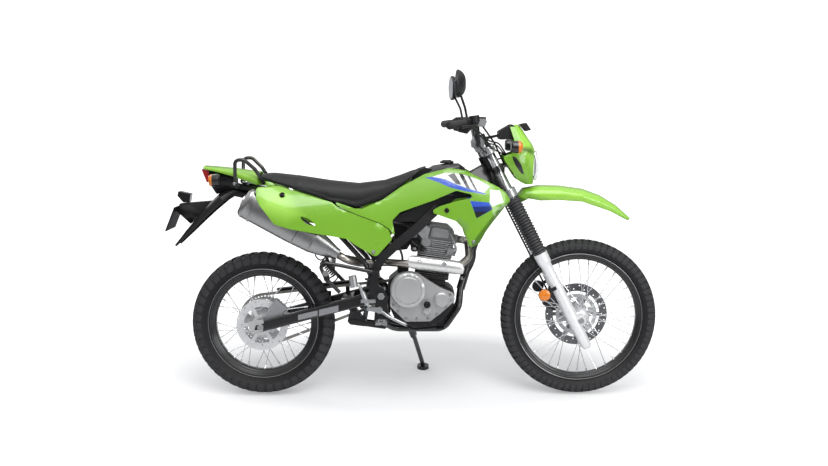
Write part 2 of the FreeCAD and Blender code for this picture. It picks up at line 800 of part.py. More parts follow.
upper_low = num("upper_clamp_height")
upper_high = upper_low + num("upper_clamp_thickness")
lower_low = num("lower_clamp_height")
forms = clamp_plate("LowerClamp", lower_low, num("lower_clamp_thickness"))
forms += clamp_plate("UpperClamp", upper_low, num("upper_clamp_thickness"))
forms.append(rod("SteeringStem", (0, 0, lower_low), (0, 0, upper_high + 14), size("stem_radius")))
fork_holes = [rod("ClampHole_%d" % (side + 1), (CLAMP_OFFSET, side * HALF_FORK, lower_low - 10),
                  (CLAMP_OFFSET, side * HALF_FORK, upper_high + 10), STANCHION + GAP) for side in (-1, 1)]
piece(cut("TripleClamps", fuse("TripleClamps_form", forms), fork_holes), "triple_clamps", STEER)

# Handlebar and its controls, in the upright frame
BAR_RADIUS = size("handlebar_radius")
BAR_MIDDLE = steer_point(-6, 0, upper_high + 30)
BAR_HALF = num("handlebar_half_width")
BAR_BEND = Vector(228, 188, 1194)
BAR_END = Vector(112, BAR_HALF, 1178)


def bar_point(side, share):
    """A point on the straight outer run of the handlebar, with share 0 at the bend and 1 at its end."""
    spot = BAR_BEND + (BAR_END - BAR_BEND) * share
    return Vector(spot.x, side * spot.y, spot.z)


def along_bar(side):
    return (bar_point(side, 1) - bar_point(side, 0)).normalize()


bar_points = [bar_point(-1, 1), bar_point(-1, 0), BAR_MIDDLE + Vector(0, -86, 0),
              BAR_MIDDLE + Vector(0, 86, 0), bar_point(1, 0), bar_point(1, 1)]
piece(tube("Handlebar", bar_points, BAR_RADIUS, bend=60), "handlebar")

clamp_base = upper_high + GAP
riser_hole = rod("RiserHole", (BAR_MIDDLE.x, -80, BAR_MIDDLE.z), (BAR_MIDDLE.x, 80, BAR_MIDDLE.z), BAR_RADIUS + GAP)
risers = []
for side in (-1, 1):
    riser = block("Riser_%d" % (side + 1), (-24, side * 42 - 14, clamp_base), (12, side * 42 + 14, clamp_base + 48))
    riser.Placement = STEER.multiply(riser.Placement)
    risers.append(riser)
piece(cut("HandlebarClamp", both_in_one("HandlebarClamp_form", risers), [riser_hole]), "handlebar_clamp")

grips = []
for side in (-1, 1):
    run = along_bar(side)
    outer_end = bar_point(side, 1) + run * 5
    inner_end = outer_end - run * num("grip_length")
    sleeve = rod("Grip_%d_sleeve" % (side + 1), inner_end, outer_end, size("grip_radius"))
    flange = rod("Grip_%d_flange" % (side + 1), inner_end, inner_end + run * 6, size("grip_radius") + 6)
    hole = rod("Grip_%d_hole" % (side + 1), inner_end - run * 5, bar_point(side, 1) + run * GAP, BAR_RADIUS + GAP)
    grips.append(cut("Grip_%d" % (side + 1), fuse("Grip_%d_form" % (side + 1), [sleeve, flange]), [hole]))
piece(both_in_one("Grips", grips), "grips")


def lever(side, name):
    """A hand lever, its perch clamped round the bar, and the switch housing beside the grip."""
    run = along_bar(side)
    ahead = Vector(1, 0, -0.25).normalize()
    length = (bar_point(side, 1) - bar_point(side, 0)).Length
    inner = bar_point(side, 1) + run * (5 - num("grip_length") - GAP)
    switch = rod(name + "_switch", inner - run * 34, inner, 20)
    perch_at = inner - run * 52
    perch = rod(name + "_perch", perch_at - run * 13, perch_at + run * 18, 17)
    root = perch_at + ahead * 40
    arm = tube(name + "_arm", [perch_at + ahead * 8, root + run * 6, root + run * 60 + ahead * 4,
                               root + run * (length * 0.62) - ahead * 2], 6, bend=30)
    hole = rod(name + "_hole", inner - run * 90, inner + run * 20, BAR_RADIUS + GAP)
    forms = [switch, perch, arm]
    if side < 0:
        body = rod(name + "_cylinder", perch_at + ahead * 24 - run * 26, perch_at + ahead * 24 + run * 20, 11)
        pot_at = perch_at + ahead * 26 - run * 8 + Vector(0, 0, 6)
        forms += [body, rod(name + "_reservoir", pot_at, pot_at + Vector(-4, 0, 28), 21)]
    return cut(name, fuse(name + "_form", forms), [hole])


piece(both_in_one("HandLevers", [lever(-1, "BrakeLever"), lever(1, "ClutchLever")]), "hand_levers")


def mirror(side):
    """A mirror on its bent stem: a domed teardrop shell with its flat glass facing the rider."""
    run = along_bar(side)
    perch_at = bar_point(side, 1) + run * (5 - num("grip_length") - GAP - 52)
    foot = perch_at + Vector(0, 0, 17 + GAP)
    if side < 0:
        foot = foot + run * 9
    elbow = foot + Vector(-8, side * 2, 42)
    head_at = Vector(140, side * 342, 1344)
    stem = tube("MirrorStem_%d" % (side + 1), [foot, elbow, head_at + Vector(10, -side * 10, -26)], 5, bend=30)
    rim = [(-50, -38), (6, -56), (58, -44), (72, -4), (62, 36), (10, 55), (-48, 38), (-70, 2)]
    wires = []
    for depth, share in ((0, 0.97), (5, 1.0), (17, 0.88), (27, 0.66), (34, 0.36)):
        wire = outline([(side * y * share, z * share) for y, z in rim], 14 * share)
        wire.translate(Vector(0, depth, 0))
        wires.append(wire)
    shape = loft("MirrorHead_%d" % (side + 1), wires, ruled=True)
    shape.Placement = Placement(head_at, Rotation(Vector(0, 0, 1), -90 + side * 7))
    return fuse("Mirror_%d" % (side + 1), [stem, shape])


piece(both_in_one("Mirrors", [mirror(-1), mirror(1)]), "mirrors")


# Front fender, lamp, meter and front brake
def fender_width_at(x):
    """Half width of the front fender: narrow between the fork legs and widest above the tyre."""
    half = num("fender_width") / 2
    if x < 470:
        return half * (0.70 + 0.22 * (x - 400) / 70)
    if x < 760:
        return half * (0.92 + 0.08 * math.sin(math.pi * (x - 470) / 290))
    return half * (0.92 - 0.42 * (x - 760) / 150)


def front_fender():
    spots = ((402, 858, 26), (440, 905, 48), (507, 917, 62), (600, 915, 58), (702, 901, 52),
             (775, 874, 50), (845, 831, 34), (905, 778, 16))
    wires = []
    for i, (x, z, deep) in enumerate(spots):
        ahead = spots[min(i + 1, len(spots) - 1)]
        behind = spots[max(i - 1, 0)]
        along = Vector(ahead[0] - behind[0], 0, ahead[1] - behind[1])
        wires.append(channel_section((x, 0, z), along, fender_width_at(x), deep, num("panel_wall")))
    shell = loft("FrontFender_shell", wires, ruled=True)
    boss_top = lower_low - GAP
    boss = block("FrontFender_boss", (-18, -30, boss_top - 30), (34, 30, boss_top))
    boss.Placement = STEER.multiply(boss.Placement)
    return fuse("FrontFender", [shell, boss])


piece(front_fender(), "front_fender")


def cowl_section(z, front_x, rear_x, half, wall):
    """One level of the lamp cowl: a thin U that is closed in front and open at the rear."""
    def arc(inset):
        return [
            Vector(rear_x, -(half - inset), z),
            Vector(rear_x + (front_x - rear_x) * 0.55, -(half - inset) * 0.96, z),
            Vector(front_x - inset, -half * 0.52, z),
            Vector(front_x - inset + 4, 0, z),
            Vector(front_x - inset, half * 0.52, z),
            Vector(rear_x + (front_x - rear_x) * 0.55, (half - inset) * 0.96, z),
            Vector(rear_x, half - inset, z),
        ]
    outer, inner = arc(0), arc(wall)
    return Part.Wire([
        spline(outer),
        Part.LineSegment(outer[-1], inner[-1]).toShape(),
        spline(list(reversed(inner))),
        Part.LineSegment(inner[0], outer[0]).toShape(),
    ])


COWL = ((922, 482, 426, 60), (975, 493, 402, 92), (1040, 489, 378, 104), (1100, 470, 366, 92), (1168, 428, 374, 62))


def headlight_cowl():
    wires = [cowl_section(z, front, rear, half, num("panel_wall")) for z, front, rear, half in COWL]
    shell = loft("LampCowl_shell", wires, ruled=True)
    window = block("LampCowl_window", (455, -56, 948), (560, 56, 1052))
    return cut("LampCowl", shell, [window])


piece(headlight_cowl(), "headlight_cowl")

lamp_face = slab("Lamp_face", [(-52, -50), (52, -50), (54, 48), (-54, 48)], -8, 8, round_off=22)
lamp_face.Placement = Placement(Vector(478, 0, 1000), Rotation(Vector(0, 0, 1), 90))
lamp_body = rod("Lamp_body", (405, 0, 1000), (472, 0, 1000), 44)


def lamp_bracket():
    """The lamp's bracket: a ring round each fork tube, an arm forwards on each side and a cross bar."""
    level = 735
    forms = []
    holes = []
    tall = 24
    for side in (-1, 1):
        y = side * HALF_FORK
        ring_low = steer_point(CLAMP_OFFSET, y, level)
        ring_high = steer_point(CLAMP_OFFSET, y, level + tall)
        forms.append(rod("LampBracket_ring_%d" % (side + 1), ring_low, ring_high, STANCHION + 6))
        holes.append(rod("LampBracket_hole_%d" % (side + 1), steer_point(CLAMP_OFFSET, y, level - 5),
                         steer_point(CLAMP_OFFSET, y, level + tall + 5), STANCHION + GAP))
        mid = (ring_low + ring_high) * 0.5
        forms.append(tube("LampBracket_arm_%d" % (side + 1), [
            mid + Vector(16, -side * 2, 8), Vector(392, side * 80, mid.z + 14), Vector(398, side * 50, 1000)], 6, bend=20))
    forms.append(rod("LampBracket_bar", (398, -50, 1000), (398, 50, 1000), 6.5))
    return cut("LampBracket", fuse("LampBracket_form", forms), holes)


piece(both_in_one("HeadlampSet", [fuse("Headlamp", [lamp_face, lamp_body]), lamp_bracket()]), "headlamp")

meter_base = steer_point(CLAMP_OFFSET, 0, upper_high)


def by_meter(points):
    """Points (x, z) given from the top of the upper clamp."""
    return [(meter_base.x + x, meter_base.z + z) for x, z in points]


meter_case = slab("Meter_case", by_meter([(52, 35), (50, 71), (106, 103), (122, 89), (120, 38)]), -52, 52, round_off=9)
meter_arm = block("Meter_arm", (CLAMP_OFFSET + 2, -18, upper_high + GAP), (CLAMP_OFFSET + 20, 18, upper_high + 60))
meter_arm.Placement = STEER.multiply(meter_arm.Placement)
meter_foot = slab("Meter_foot", by_meter([(-10, 33), (58, 49), (58, 59), (-14, 45)]), -18, 18)
piece(fuse("Meter", [meter_case, meter_arm, meter_foot]), "meter")


def signal(name, root, side, tilt=0.0):
    """A turn signal on its stalk: root is where the stalk leaves the body, side is left or right."""
    root = Vector(root)
    stalk_end = root + Vector(0, side * 34, 0)
    stalk = rod(name + "_stalk", root, stalk_end, 8)
    head_form = turned(name + "_head", [(-24, 0), (-24, 21), (-14, 26), (16, 26), (24, 17), (24, 0)],
                       base=stalk_end + Vector(0, side * 22, 0), axis=(1, 0, tilt))
    return fuse(name, [stalk, head_form])


signal_root = 104 - 12 * (1086 - 1040) / 60
front_signals = [signal("FrontSignal_%d" % (s + 1), (400, s * (signal_root + 5), 1086), s) for s in (-1, 1)]
piece(both_in_one("FrontSignals", front_signals), "front_signals")


def caliper_body(name, centre, disc_y, span, reach, radius, outward):
    """A floating caliper: two halves over the disc's rim, joined above it, with its cylinder outside."""
    gap = num("disc_thickness") / 2 + 2
    cx, cz = centre
    length = math.hypot(cx, cz)
    direction = Vector(cx / length, 0, cz / length)
    side = Vector(-direction.z, 0, direction.x)
    forms = []
    for way, thick in ((-outward, 12), (outward, 22)):
        low = disc_y + (gap if way > 0 else -gap - thick)
        rim_side = radius + 18
        corners = [direction * a + side * b for a, b in
                   ((length - reach, -span), (rim_side, -span), (rim_side, span), (length - reach, span))]
        forms.append(slab("%s_half_%d" % (name, way + 1), [(c.x, c.z) for c in corners], low, low + thick, round_off=9))
    bridge_low = direction * (radius + 4)
    corners = [bridge_low + side * -span, bridge_low + direction * 14 + side * -span,
               bridge_low + direction * 14 + side * span, bridge_low + side * span]
    low, high = sorted((disc_y - outward * (gap + 12), disc_y + outward * (gap + 22)))
    forms.append(slab(name + "_bridge", [(c.x, c.z) for c in corners], low, high, round_off=4))
    return forms


FRONT_DISC_Y = num("front_hub_length") / 2 + GAP + 4 + num("disc_thickness") / 2
# The caliper sits behind the left leg: its centre is in steering coordinates from the axle
forms = caliper_body("FrontCaliper", (-62, 92), FRONT_DISC_Y, 34, 22, num("front_disc_radius"), 1)
for item in forms:
    item.Placement = Placement(Vector(AXLE_OFFSET, 0, 0), Rotation()).multiply(item.Placement)
mount_y = FRONT_DISC_Y + num("disc_thickness") / 2 + 2
ear = link("FrontCaliper_ear", (AXLE_OFFSET - 62, 92), 18, (CLAMP_OFFSET - 20, 150), 12, mount_y + 8, mount_y + 20)
leg_clear = rod("FrontCaliper_leg_clear", (CLAMP_OFFSET, HALF_FORK, -200), (CLAMP_OFFSET, HALF_FORK, 330),
                size("lower_leg_radius") + GAP)
axle_clear = rod("FrontCaliper_axle_clear", (AXLE_OFFSET, 0, 0), (AXLE_OFFSET, 130, 0), 22)
piece(cut("FrontCaliper", fuse("FrontCaliper_form", forms + [ear]), [leg_clear, axle_clear]), "front_caliper", STEER)

run = along_bar(-1)
perch_at = bar_point(-1, 1) + run * (5 - num("grip_length") - GAP - 52)
master_end = perch_at + Vector(1, 0, -0.25).normalize() * 24 - run * (26 + GAP)
hose = tube("FrontBrakeHose", [
    steer_point(AXLE_OFFSET - 66, mount_y + 22 + 4 + GAP, 122), steer_point(-12, 124, 220), steer_point(-10, 134, 330),
    steer_point(-10, 134, 570), steer_point(30, 142, 664), steer_point(64, 56, 740), steer_point(62, -34, 850),
    master_end - run * 40, master_end], 4, bend=60)
piece(hose, "front_brake_hose")

# Lean and side stand: the stand's foot is put where the ground lies under the leaning bike
LEAN = math.radians(num("lean_angle"))
UP_WHEN_LEANT = Vector(0, -math.sin(LEAN), math.cos(LEAN))


def lift_of(profile, radius):
    """How far a leant tyre must rise for its crown to stay on the ground."""
    return max(0, max(abs(a) * math.sin(LEAN) - (radius - r) * math.cos(LEAN) for a, r in profile))


LIFT = max(lift_of(front_profile, num("front_tyre_radius")), lift_of(rear_profile, num("rear_tyre_radius")))
STAND_PIVOT = Vector(num("stand_x"), num("stand_y"), num("stand_z"))
STAND_FOOT = Vector(num("stand_foot_x"), num("stand_foot_y"), 0)
STAND_FOOT.z = STAND_FOOT.y * math.tan(LEAN) - LIFT / math.cos(LEAN)
STAND_RAISED = Vector(-0.97, 0.20, 0.10)
foot_top = STAND_FOOT + UP_WHEN_LEANT * (num("stand_foot_thickness") + num("stand_leg_radius"))
STAND_ALONG = (foot_top - STAND_PIVOT).normalize()
STAND_AXIS = STAND_ALONG.cross(STAND_RAISED).normalize()
STAND_LENGTH = (foot_top - STAND_PIVOT).Length
STAND = Placement(STAND_PIVOT, Rotation(STAND_ALONG, STAND_AXIS.cross(STAND_ALONG), STAND_AXIS, "ZXY"))
CRADLE_Y = 52
CRADLE_Z = 296
SHOCK_TOP = Vector(-186, 0, 648)


def stand_ear():
    """The welded ear on the left cradle rail that the stand turns on."""
    rail = STAND.inverse().multVec(Vector(STAND_PIVOT.x, CRADLE_Y, CRADLE_Z))
    half = num("stand_ear_thickness") / 2
    ear = link("StandEar", (0, 0), 15, (rail.x, rail.y), 12, -half, half)
    ear.Placement = STAND.multiply(Placement(Vector(0, 0, 0), Rotation(Vector(1, 0, 0), 90)))
    return ear


# Frame
PLATE_INNER = num("swingarm_inner") + num("swingarm_wall") + num("running_gap")
PLATE_OUTER = PLATE_INNER + num("pivot_plate_thickness")
SHOCK_CROSS = Vector(-130, 0, 647)


def head_tube():
    return rod("HeadTube", steer_point(0, 0, HEAD_LOW), steer_point(0, 0, HEAD_HIGH), size("head_tube_radius"))


def spar(side):
    """One box spar: from the head tube back over the engine and down to the swingarm's pivot."""
    wide, tall = num("spar_width"), num("spar_height")
    slim = num("pivot_plate_thickness")
    level = PLATE_INNER + slim / 2
    head = steer_point(-6, 22, (HEAD_LOW + HEAD_HIGH) / 2 + 12)
    spots = ((head.x, head.y, head.z, wide, (HEAD_HIGH - HEAD_LOW) / 2), (205, 52, 936, wide, tall * 1.5),
             (120, 82, 872, wide, tall * 1.15), (42, 100, 798, wide, tall), (-19, 110, 740, wide * 0.85, tall),
             (-107, level, 669, slim, tall * 0.95), (-164, level, 614, slim, tall * 0.9),
             (-194, level, 566, slim, tall * 0.85), (-203, level, 500, slim, tall * 0.8))
    wires = []
    for i, (x, y, z, w, t) in enumerate(spots):
        ahead = spots[min(i + 1, len(spots) - 1)]
        behind = spots[max(i - 1, 0)]
        along = Vector(ahead[0] - behind[0], side * (ahead[1] - behind[1]), ahead[2] - behind[2])
        wires.append(box_section((x, side * y, z), along, w, t))
    return loft("Spar_%d" % (side + 1), wires, ruled=True)


def pivot_plate(side):
    """The cast plate below the spar's end, with the swingarm's pivot through it and the footpeg at its foot."""
    low, high = sorted((side * PLATE_INNER, side * (PLATE_INNER + num("pivot_plate_thickness"))))
    return slab("PivotPlate_%d" % (side + 1), [
        (-220, 530), (-220, 486), (-211, 437), (-196, 412), (-202, 334), (-134, 328), (-141, 389),
        (-144, 420), (-139, 446), (-160, 482), (-182, 498), (-187, 530)], low, high, round_off=12)


def cradle(side):
    return tube("Cradle_%d" % (side + 1), [
        (174, side * 6, 470), (166, side * 40, 390), (100, side * CRADLE_Y, CRADLE_Z),
        (-120, side * CRADLE_Y, CRADLE_Z), (-170, side * 120, 345)], size("cradle_radius"), bend=60)


def frame_main():
    forms = [head_tube()]
    down_start = steer_point(-24, 0, HEAD_LOW + 44)
    forms.append(rod("DownTube", down_start, (174, 0, 462), size("down_tube_radius")))
    plate_mid = (PLATE_INNER + PLATE_OUTER) / 2
    for side in (-1, 1):
        forms += [spar(side), pivot_plate(side), cradle(side)]
    forms.append(rod("FrameCross_upper", SHOCK_CROSS - Vector(0, plate_mid, 0), SHOCK_CROSS + Vector(0, plate_mid, 0), 13))
    for side in (-1, 1):
        low, high = sorted((side * (16 + GAP), side * (23 + GAP)))
        forms.append(link("ShockLug_%d" % (side + 1), (SHOCK_CROSS.x, SHOCK_CROSS.z), 12,
                          (SHOCK_TOP.x, SHOCK_TOP.z), 13, low, high))
    forms.append(rod("FrameCross_lower", (-178, -plate_mid, 345), (-178, plate_mid, 345), 12))
    forms.append(stand_ear())
    stem_bore = rod("HeadTube_bore", steer_point(0, 0, HEAD_LOW - 10), steer_point(0, 0, HEAD_HIGH + 10),
                    size("stem_radius") + size("running_gap"))
    pivot_bore = rod("Pivot_bore", (PIVOT.x, -160, PIVOT.z), (PIVOT.x, 160, PIVOT.z), size("pivot_radius") + GAP)
    stand_bore = rod("StandEar_bore", (0, 0, -40), (0, 0, 40), 5.5 + GAP)
    stand_bore.Placement = STAND.multiply(stand_bore.Placement)
    shock_bore = rod("Shock_bore", (SHOCK_TOP.x, -40, SHOCK_TOP.z), (SHOCK_TOP.x, 40, SHOCK_TOP.z), 6 + GAP)
    return cut("FrameMain", fuse("FrameMain_form", forms), [stem_bore, pivot_bore, stand_bore, shock_bore])


piece(frame_main(), "frame_main")

pivot_rod = rod("PivotBolt_rod", (PIVOT.x, -PLATE_OUTER - 7, PIVOT.z), (PIVOT.x, PLATE_OUTER + 7, PIVOT.z),
                size("pivot_radius"))
caps = []
for side in (-1, 1):
    cap = add("Part::Prism", "PivotBolt_cap_%d" % (side + 1), Circumradius=16, Height=8)
    cap.Polygon = 6
    caps.append(at(cap, (PIVOT.x, side * (PLATE_OUTER + GAP + 4) - 4, PIVOT.z), (0, 1, 0)))
piece(fuse("PivotBolt", [pivot_rod] + caps), "pivot_bolt")

RAIL_Y = 66


def subframe():
    """The rear frame: upper and lower rails bolted inside the pivot plates, with cross bars."""
    rail = size("rail_radius")
    slim = rail * 0.85
    upper_front = 110 - num("spar_width") * 0.85 / 2 - rail.value - GAP - 2
    upper_y = PLATE_INNER - rail.value - GAP
    lower_y = PLATE_INNER - slim.value - GAP
    forms = []
    for side in (-1, 1):
        forms.append(tube("UpperRail_%d" % (side + 1), [
            (-24, side * upper_front, 744), (-200, side * upper_y, 786), (-560, side * RAIL_Y, 868),
            (-786, side * 60, 918)], rail, bend=120))
        forms.append(tube("LowerRail_%d" % (side + 1), [
            (-203, side * lower_y, 506), (-240, side * lower_y, 590), (-380, side * 84, 742),
            (-560, side * RAIL_Y, 868)], slim, bend=90))
    for i, (x, z, wide) in enumerate(((-314, 794, 84), (-560, 872, RAIL_Y), (-756, 922, 60))):
        forms.append(rod("RailCross_%d" % i, (x, -wide, z), (x, wide, z), 8))
    return fuse("Subframe", forms)


piece(subframe(), "rear_subframe")


# Swingarm, its linkage and the shock
def along_arm(share):
    """A point on the swingarm's centre line, from the pivot at 0 to the rear axle at 1."""
    return PIVOT + (REAR_AXLE - PIVOT) * share


def swingarm():
    inner, wall = num("swingarm_inner"), num("swingarm_wall")
    tall, low = num("swingarm_front_height"), num("swingarm_rear_height")
    along = REAR_AXLE - PIVOT
    forms = []
    for side in (-1, 1):
        y = side * (inner + wall / 2)
        wires = []
        for share, height in ((0.0, tall), (0.5, tall), (1.0, low), (1.065, low * 0.8)):
            spot = along_arm(share)
            wires.append(rounded_box_section((spot.x, y, spot.z), along, wall, height, 7))
        forms.append(loft("SwingarmArm_%d" % (side + 1), wires, ruled=True))
    forms.append(rod("SwingarmPivot", (PIVOT.x, -inner - wall, PIVOT.z), (PIVOT.x, inner + wall, PIVOT.z), 16))
    bridge_at = along_arm(0.275)
    bridge = block("SwingarmBridge", (-26, -inner, -tall / 2 + 4), (26, inner, tall / 2 - 4))
    slope = math.degrees(math.atan2(-along.z, -along.x))
    bridge.Placement = Placement(bridge_at, Rotation(Vector(0, 1, 0), -slope)).multiply(bridge.Placement)
    forms.append(bridge)
    lug = link("SwingarmLug", (bridge_at.x, bridge_at.z), 22, (-296, 366), 14, -14, 14)
    forms.append(lug)
    tools = [
        rod("SwingarmBore", (PIVOT.x, -140, PIVOT.z), (PIVOT.x, 140, PIVOT.z), size("pivot_radius") + GAP),
        rod("SwingarmAxleBore", (REAR_AXLE.x, -140, REAR_AXLE.z), (REAR_AXLE.x, 140, REAR_AXLE.z), AXLE_R + GAP),
        rod("SwingarmLugBore", (-296, -20, 366), (-296, 20, 366), 6 + GAP),
    ]
    return cut("Swingarm", fuse("Swingarm_form", forms), tools)


piece(swingarm(), "swingarm")

ROCKER_TOP = (-296, 366)
ROCKER_LOW = (-306, 320)
ROCKER_FRONT = (-250, 312)
FRAME_LUG = (-160, 300)


def linkage():
    """The shock's rocker plates on the swingarm's lug, the tie rods to the frame and their bolts."""
    forms = []
    for side in (-1, 1):
        low, high = sorted((side * (14 + GAP), side * (20 + GAP)))
        forms.append(slab("Rocker_%d" % (side + 1), [
            (ROCKER_TOP[0] - 12, ROCKER_TOP[1] + 12), (ROCKER_TOP[0] + 14, ROCKER_TOP[1] + 10),
            (ROCKER_FRONT[0] + 14, ROCKER_FRONT[1]), (ROCKER_FRONT[0] + 2, ROCKER_FRONT[1] - 14),
            (ROCKER_LOW[0] - 4, ROCKER_LOW[1] - 14), (ROCKER_LOW[0] - 16, ROCKER_LOW[1])], low, high, round_off=11))
        tie_low, tie_high = sorted((side * (20 + GAP), side * (27 + GAP)))
        forms.append(link("Tie_%d" % (side + 1), ROCKER_LOW, 11, FRAME_LUG, 12, tie_low, tie_high))
    for name, spot in (("top", ROCKER_TOP), ("low", ROCKER_LOW), ("front", ROCKER_FRONT), ("lug", FRAME_LUG)):
        half = 20 if name in ("top", "front") else 27
        forms.append(rod("RockerBolt_" + name, (spot[0], -half - 6, spot[1]), (spot[0], half + 6, spot[1]), 6))
    return fuse("Linkage", forms)


piece(linkage(), "shock_linkage")


def shock():
    """The rear shock: a spring of round wire between two seats, over the damper's body and rod."""
    top, low = SHOCK_TOP, Vector(ROCKER_FRONT[0], 0, ROCKER_FRONT[1])
    along = low - top
    length = along.Length
    body = turned("Shock_body", [
        (0, 0), (0, 15), (24, 15), (24, 31), (32, 31), (32, 21), (length * 0.55, 21), (length * 0.55, 8),
        (length - 72, 8), (length - 72, 31), (length - 62, 31), (length - 62, 11), (length - 16, 11),
        (length - 16, 0)], base=top, axis=along)
    coils = 6
    wire = 5
    coil = 28.5
    start, end = 32 + wire + GAP, length - 72 - wire - GAP
    helix = Part.makeHelix((end - start) / coils, end - start, coil)
    path = curve("ShockSpring_path", helix)
    ring = add("Part::RegularPolygon", "ShockSpring_ring", Circumradius=wire)
    ring.Polygon = 6
    at(ring, (coil, 0, 0), (0, 1, 0))
    spring = doc.addObject("Part::Sweep", "ShockSpring")
    spring.Sections = [ring]
    spring.Spine = (path, ["Edge%d" % (i + 1) for i in range(len(helix.Edges))])
    spring.Solid = True
    spring.Frenet = True
    spring.Placement = Placement(top + Vector(along).normalize() * start, Rotation(Vector(0, 0, 1), along))
    eye = rod("Shock_eye", low + Vector(0, -13.5, 0), low + Vector(0, 13.5, 0), 15)
    top_eye = rod("Shock_top_eye", top + Vector(0, -16, 0), top + Vector(0, 16, 0), 15)
    bolt = rod("Shock_top_bolt", top + Vector(0, -30, 0), top + Vector(0, 30, 0), 6)
    hole = rod("Shock_eye_hole", low + Vector(0, -20, 0), low + Vector(0, 20, 0), 6 + GAP)
    damper = cut("ShockDamper", fuse("ShockDamper_form", [body, eye, top_eye, bolt]), [hole])
    return both_in_one("RearShock", [damper, spring])


piece(shock(), "rear_shock")

# Engine, with its crankshaft's axis at the left-to-right line through CRANK
CRANK = Vector(num("crank_x"), 0, num("crank_z"))
TILT = Placement(CRANK, Rotation(Vector(0, 1, 0), num("cylinder_tilt")))
CASE_RIGHT = -96
CASE_LEFT = 60


def crankcase():
    case = slab("Crankcase_core", [
        (-146, 420), (-142, 510), (-96, 546), (-66, 546), (-34, 500), (120, 484), (146, 462), (140, 400), (92, 332),
        (30, 312), (-60, 312), (-112, 344)], CASE_RIGHT, CASE_LEFT, round_off=26)
    deck = block("Crankcase_deck", (-62, -60, 40), (62, 58, num("deck_height")))
    deck.Placement = TILT.multiply(deck.Placement)
    starter = rod("Crankcase_starter", (-78, -52, 556), (-78, 40, 556), 25)
    left = slab("Crankcase_left", [(-20, 498), (100, 478), (118, 440), (84, 366), (10, 350), (-34, 400)],
                CASE_LEFT, CASE_LEFT + 26, round_off=24)
    shaft = rod("Crankcase_output_shaft", (SPROCKET_AT.x, CASE_LEFT, SPROCKET_AT.z),
                (SPROCKET_AT.x, CHAIN_Y + 12, SPROCKET_AT.z), AXLE_R)
    return fuse("Crankcase", [case, deck, starter, left, shaft])


piece(crankcase(), "crankcase")


def clutch_cover():
    """The right engine cover: a cast plate, the raised round clutch housing and the oil filter's cap."""
    edge = CASE_RIGHT - GAP
    radius = size("clutch_cover_radius")
    plate = slab("ClutchCover_plate", [
        (-16, 551), (40, 512), (86, 484), (140, 462), (146, 430), (84, 374), (40, 340), (-65, 338),
        (-133, 404), (-128, 500), (-80, 552)], edge - 26, edge, round_off=20)
    housing = turned("ClutchCover_housing", [
        (edge - 4, 0), (edge - 4, radius.value), (edge - 50, radius.value - 1), (edge - 58, radius.value - 8),
        (edge - 60, 58), (edge - 55, 56), (edge - 55, 40), (edge - 60, 36), (edge - 60, 0)], base=(-54, 0, 478))
    filter_cap = turned("OilFilterCap", [
        (edge - 4, 0), (edge - 4, 33), (edge - 42, 31), (edge - 46, 26), (edge - 46, 0)], base=(87, 0, 436))
    plug = turned("OilPlug", [(edge - 4, 0), (edge - 4, 17), (edge - 40, 16), (edge - 44, 12), (edge - 44, 0)],
                  base=(26, 0, 388))
    return fuse("ClutchCover", [plate, housing, filter_cap, plug])


def generator_cover():
    edge = CASE_LEFT + 26 + GAP
    radius = num("generator_cover_radius")
    return turned("GeneratorCover", [
        (edge, 0), (edge, radius), (edge + 22, radius - 1), (edge + 32, radius - 12), (edge + 34, radius * 0.45),
        (edge + 30, radius * 0.42), (edge + 30, 0)], base=CRANK)


piece(both_in_one("EngineCovers", [clutch_cover(), generator_cover()]), "engine_covers")


def finned_block(name, base, top, core_half, fins, fin_from, fin_to, half_x, half_y):
    """A block on the cylinder's axis with evenly spaced cooling fins round it."""
    core = block(name + "_core", (-core_half, -core_half, base), (core_half, core_half, top))
    forms = [core]
    thick = num("fin_thickness")
    for i in range(fins):
        z = fin_from + (fin_to - fin_from - thick) * i / (fins - 1)
        fin = slab("%s_fin_%d" % (name, i), [
            (-half_x, -half_y), (half_x, -half_y), (half_x, half_y), (-half_x, half_y)], 0, thick, round_off=16)
        fin.Placement = Placement(Vector(0, 0, z + thick), Rotation(Vector(1, 0, 0), -90))
        forms.append(fin)
    return forms


cylinder_base = num("deck_height") + GAP
cylinder_top = cylinder_base + num("cylinder_height")
cylinder_forms = finned_block("Cylinder", cylinder_base, cylinder_top, 52, int(num("cylinder_fins")),
                              cylinder_base + 10, cylinder_top, 74, 66)
piece(fuse("CylinderBlock", cylinder_forms), "cylinder", TILT)


PORT_X = 88
PORT_Y = -20


def cylinder_head():
    """The finned head, its cam box with a bolted cover above, and its two ports."""
    base = cylinder_top + GAP
    deck = base + 60
    port = num("port_height")
    forms = finned_block("Head", base, deck, 50, int(num("head_fins")), base, deck, 74, 68)
    forms.append(slab("Head_cam_box", [(-56, deck - 2), (62, deck - 2), (66, deck + 44), (-60, deck + 44)], -56, 56,
                      round_off=8))
    forms.append(slab("Head_cam_cover", [(-66, deck + 40), (72, deck + 40), (70, deck + 54), (40, deck + 76),
                                         (-32, deck + 76), (-64, deck + 54)], -62, 62, round_off=9))
    forms.append(rod("Head_exhaust_port", (40, PORT_Y, port), (PORT_X, PORT_Y, port), 20))
    forms.append(rod("Head_intake_port", (-40, 0, port), (-PORT_X, 0, port), 22))
    return fuse("CylinderHead", forms)


piece(cylinder_head(), "cylinder_head", TILT)


def port_point(reach, y):
    """A point on the line of a port, reach out from the cylinder's axis."""
    return TILT.multVec(Vector(reach, y, num("port_height")))


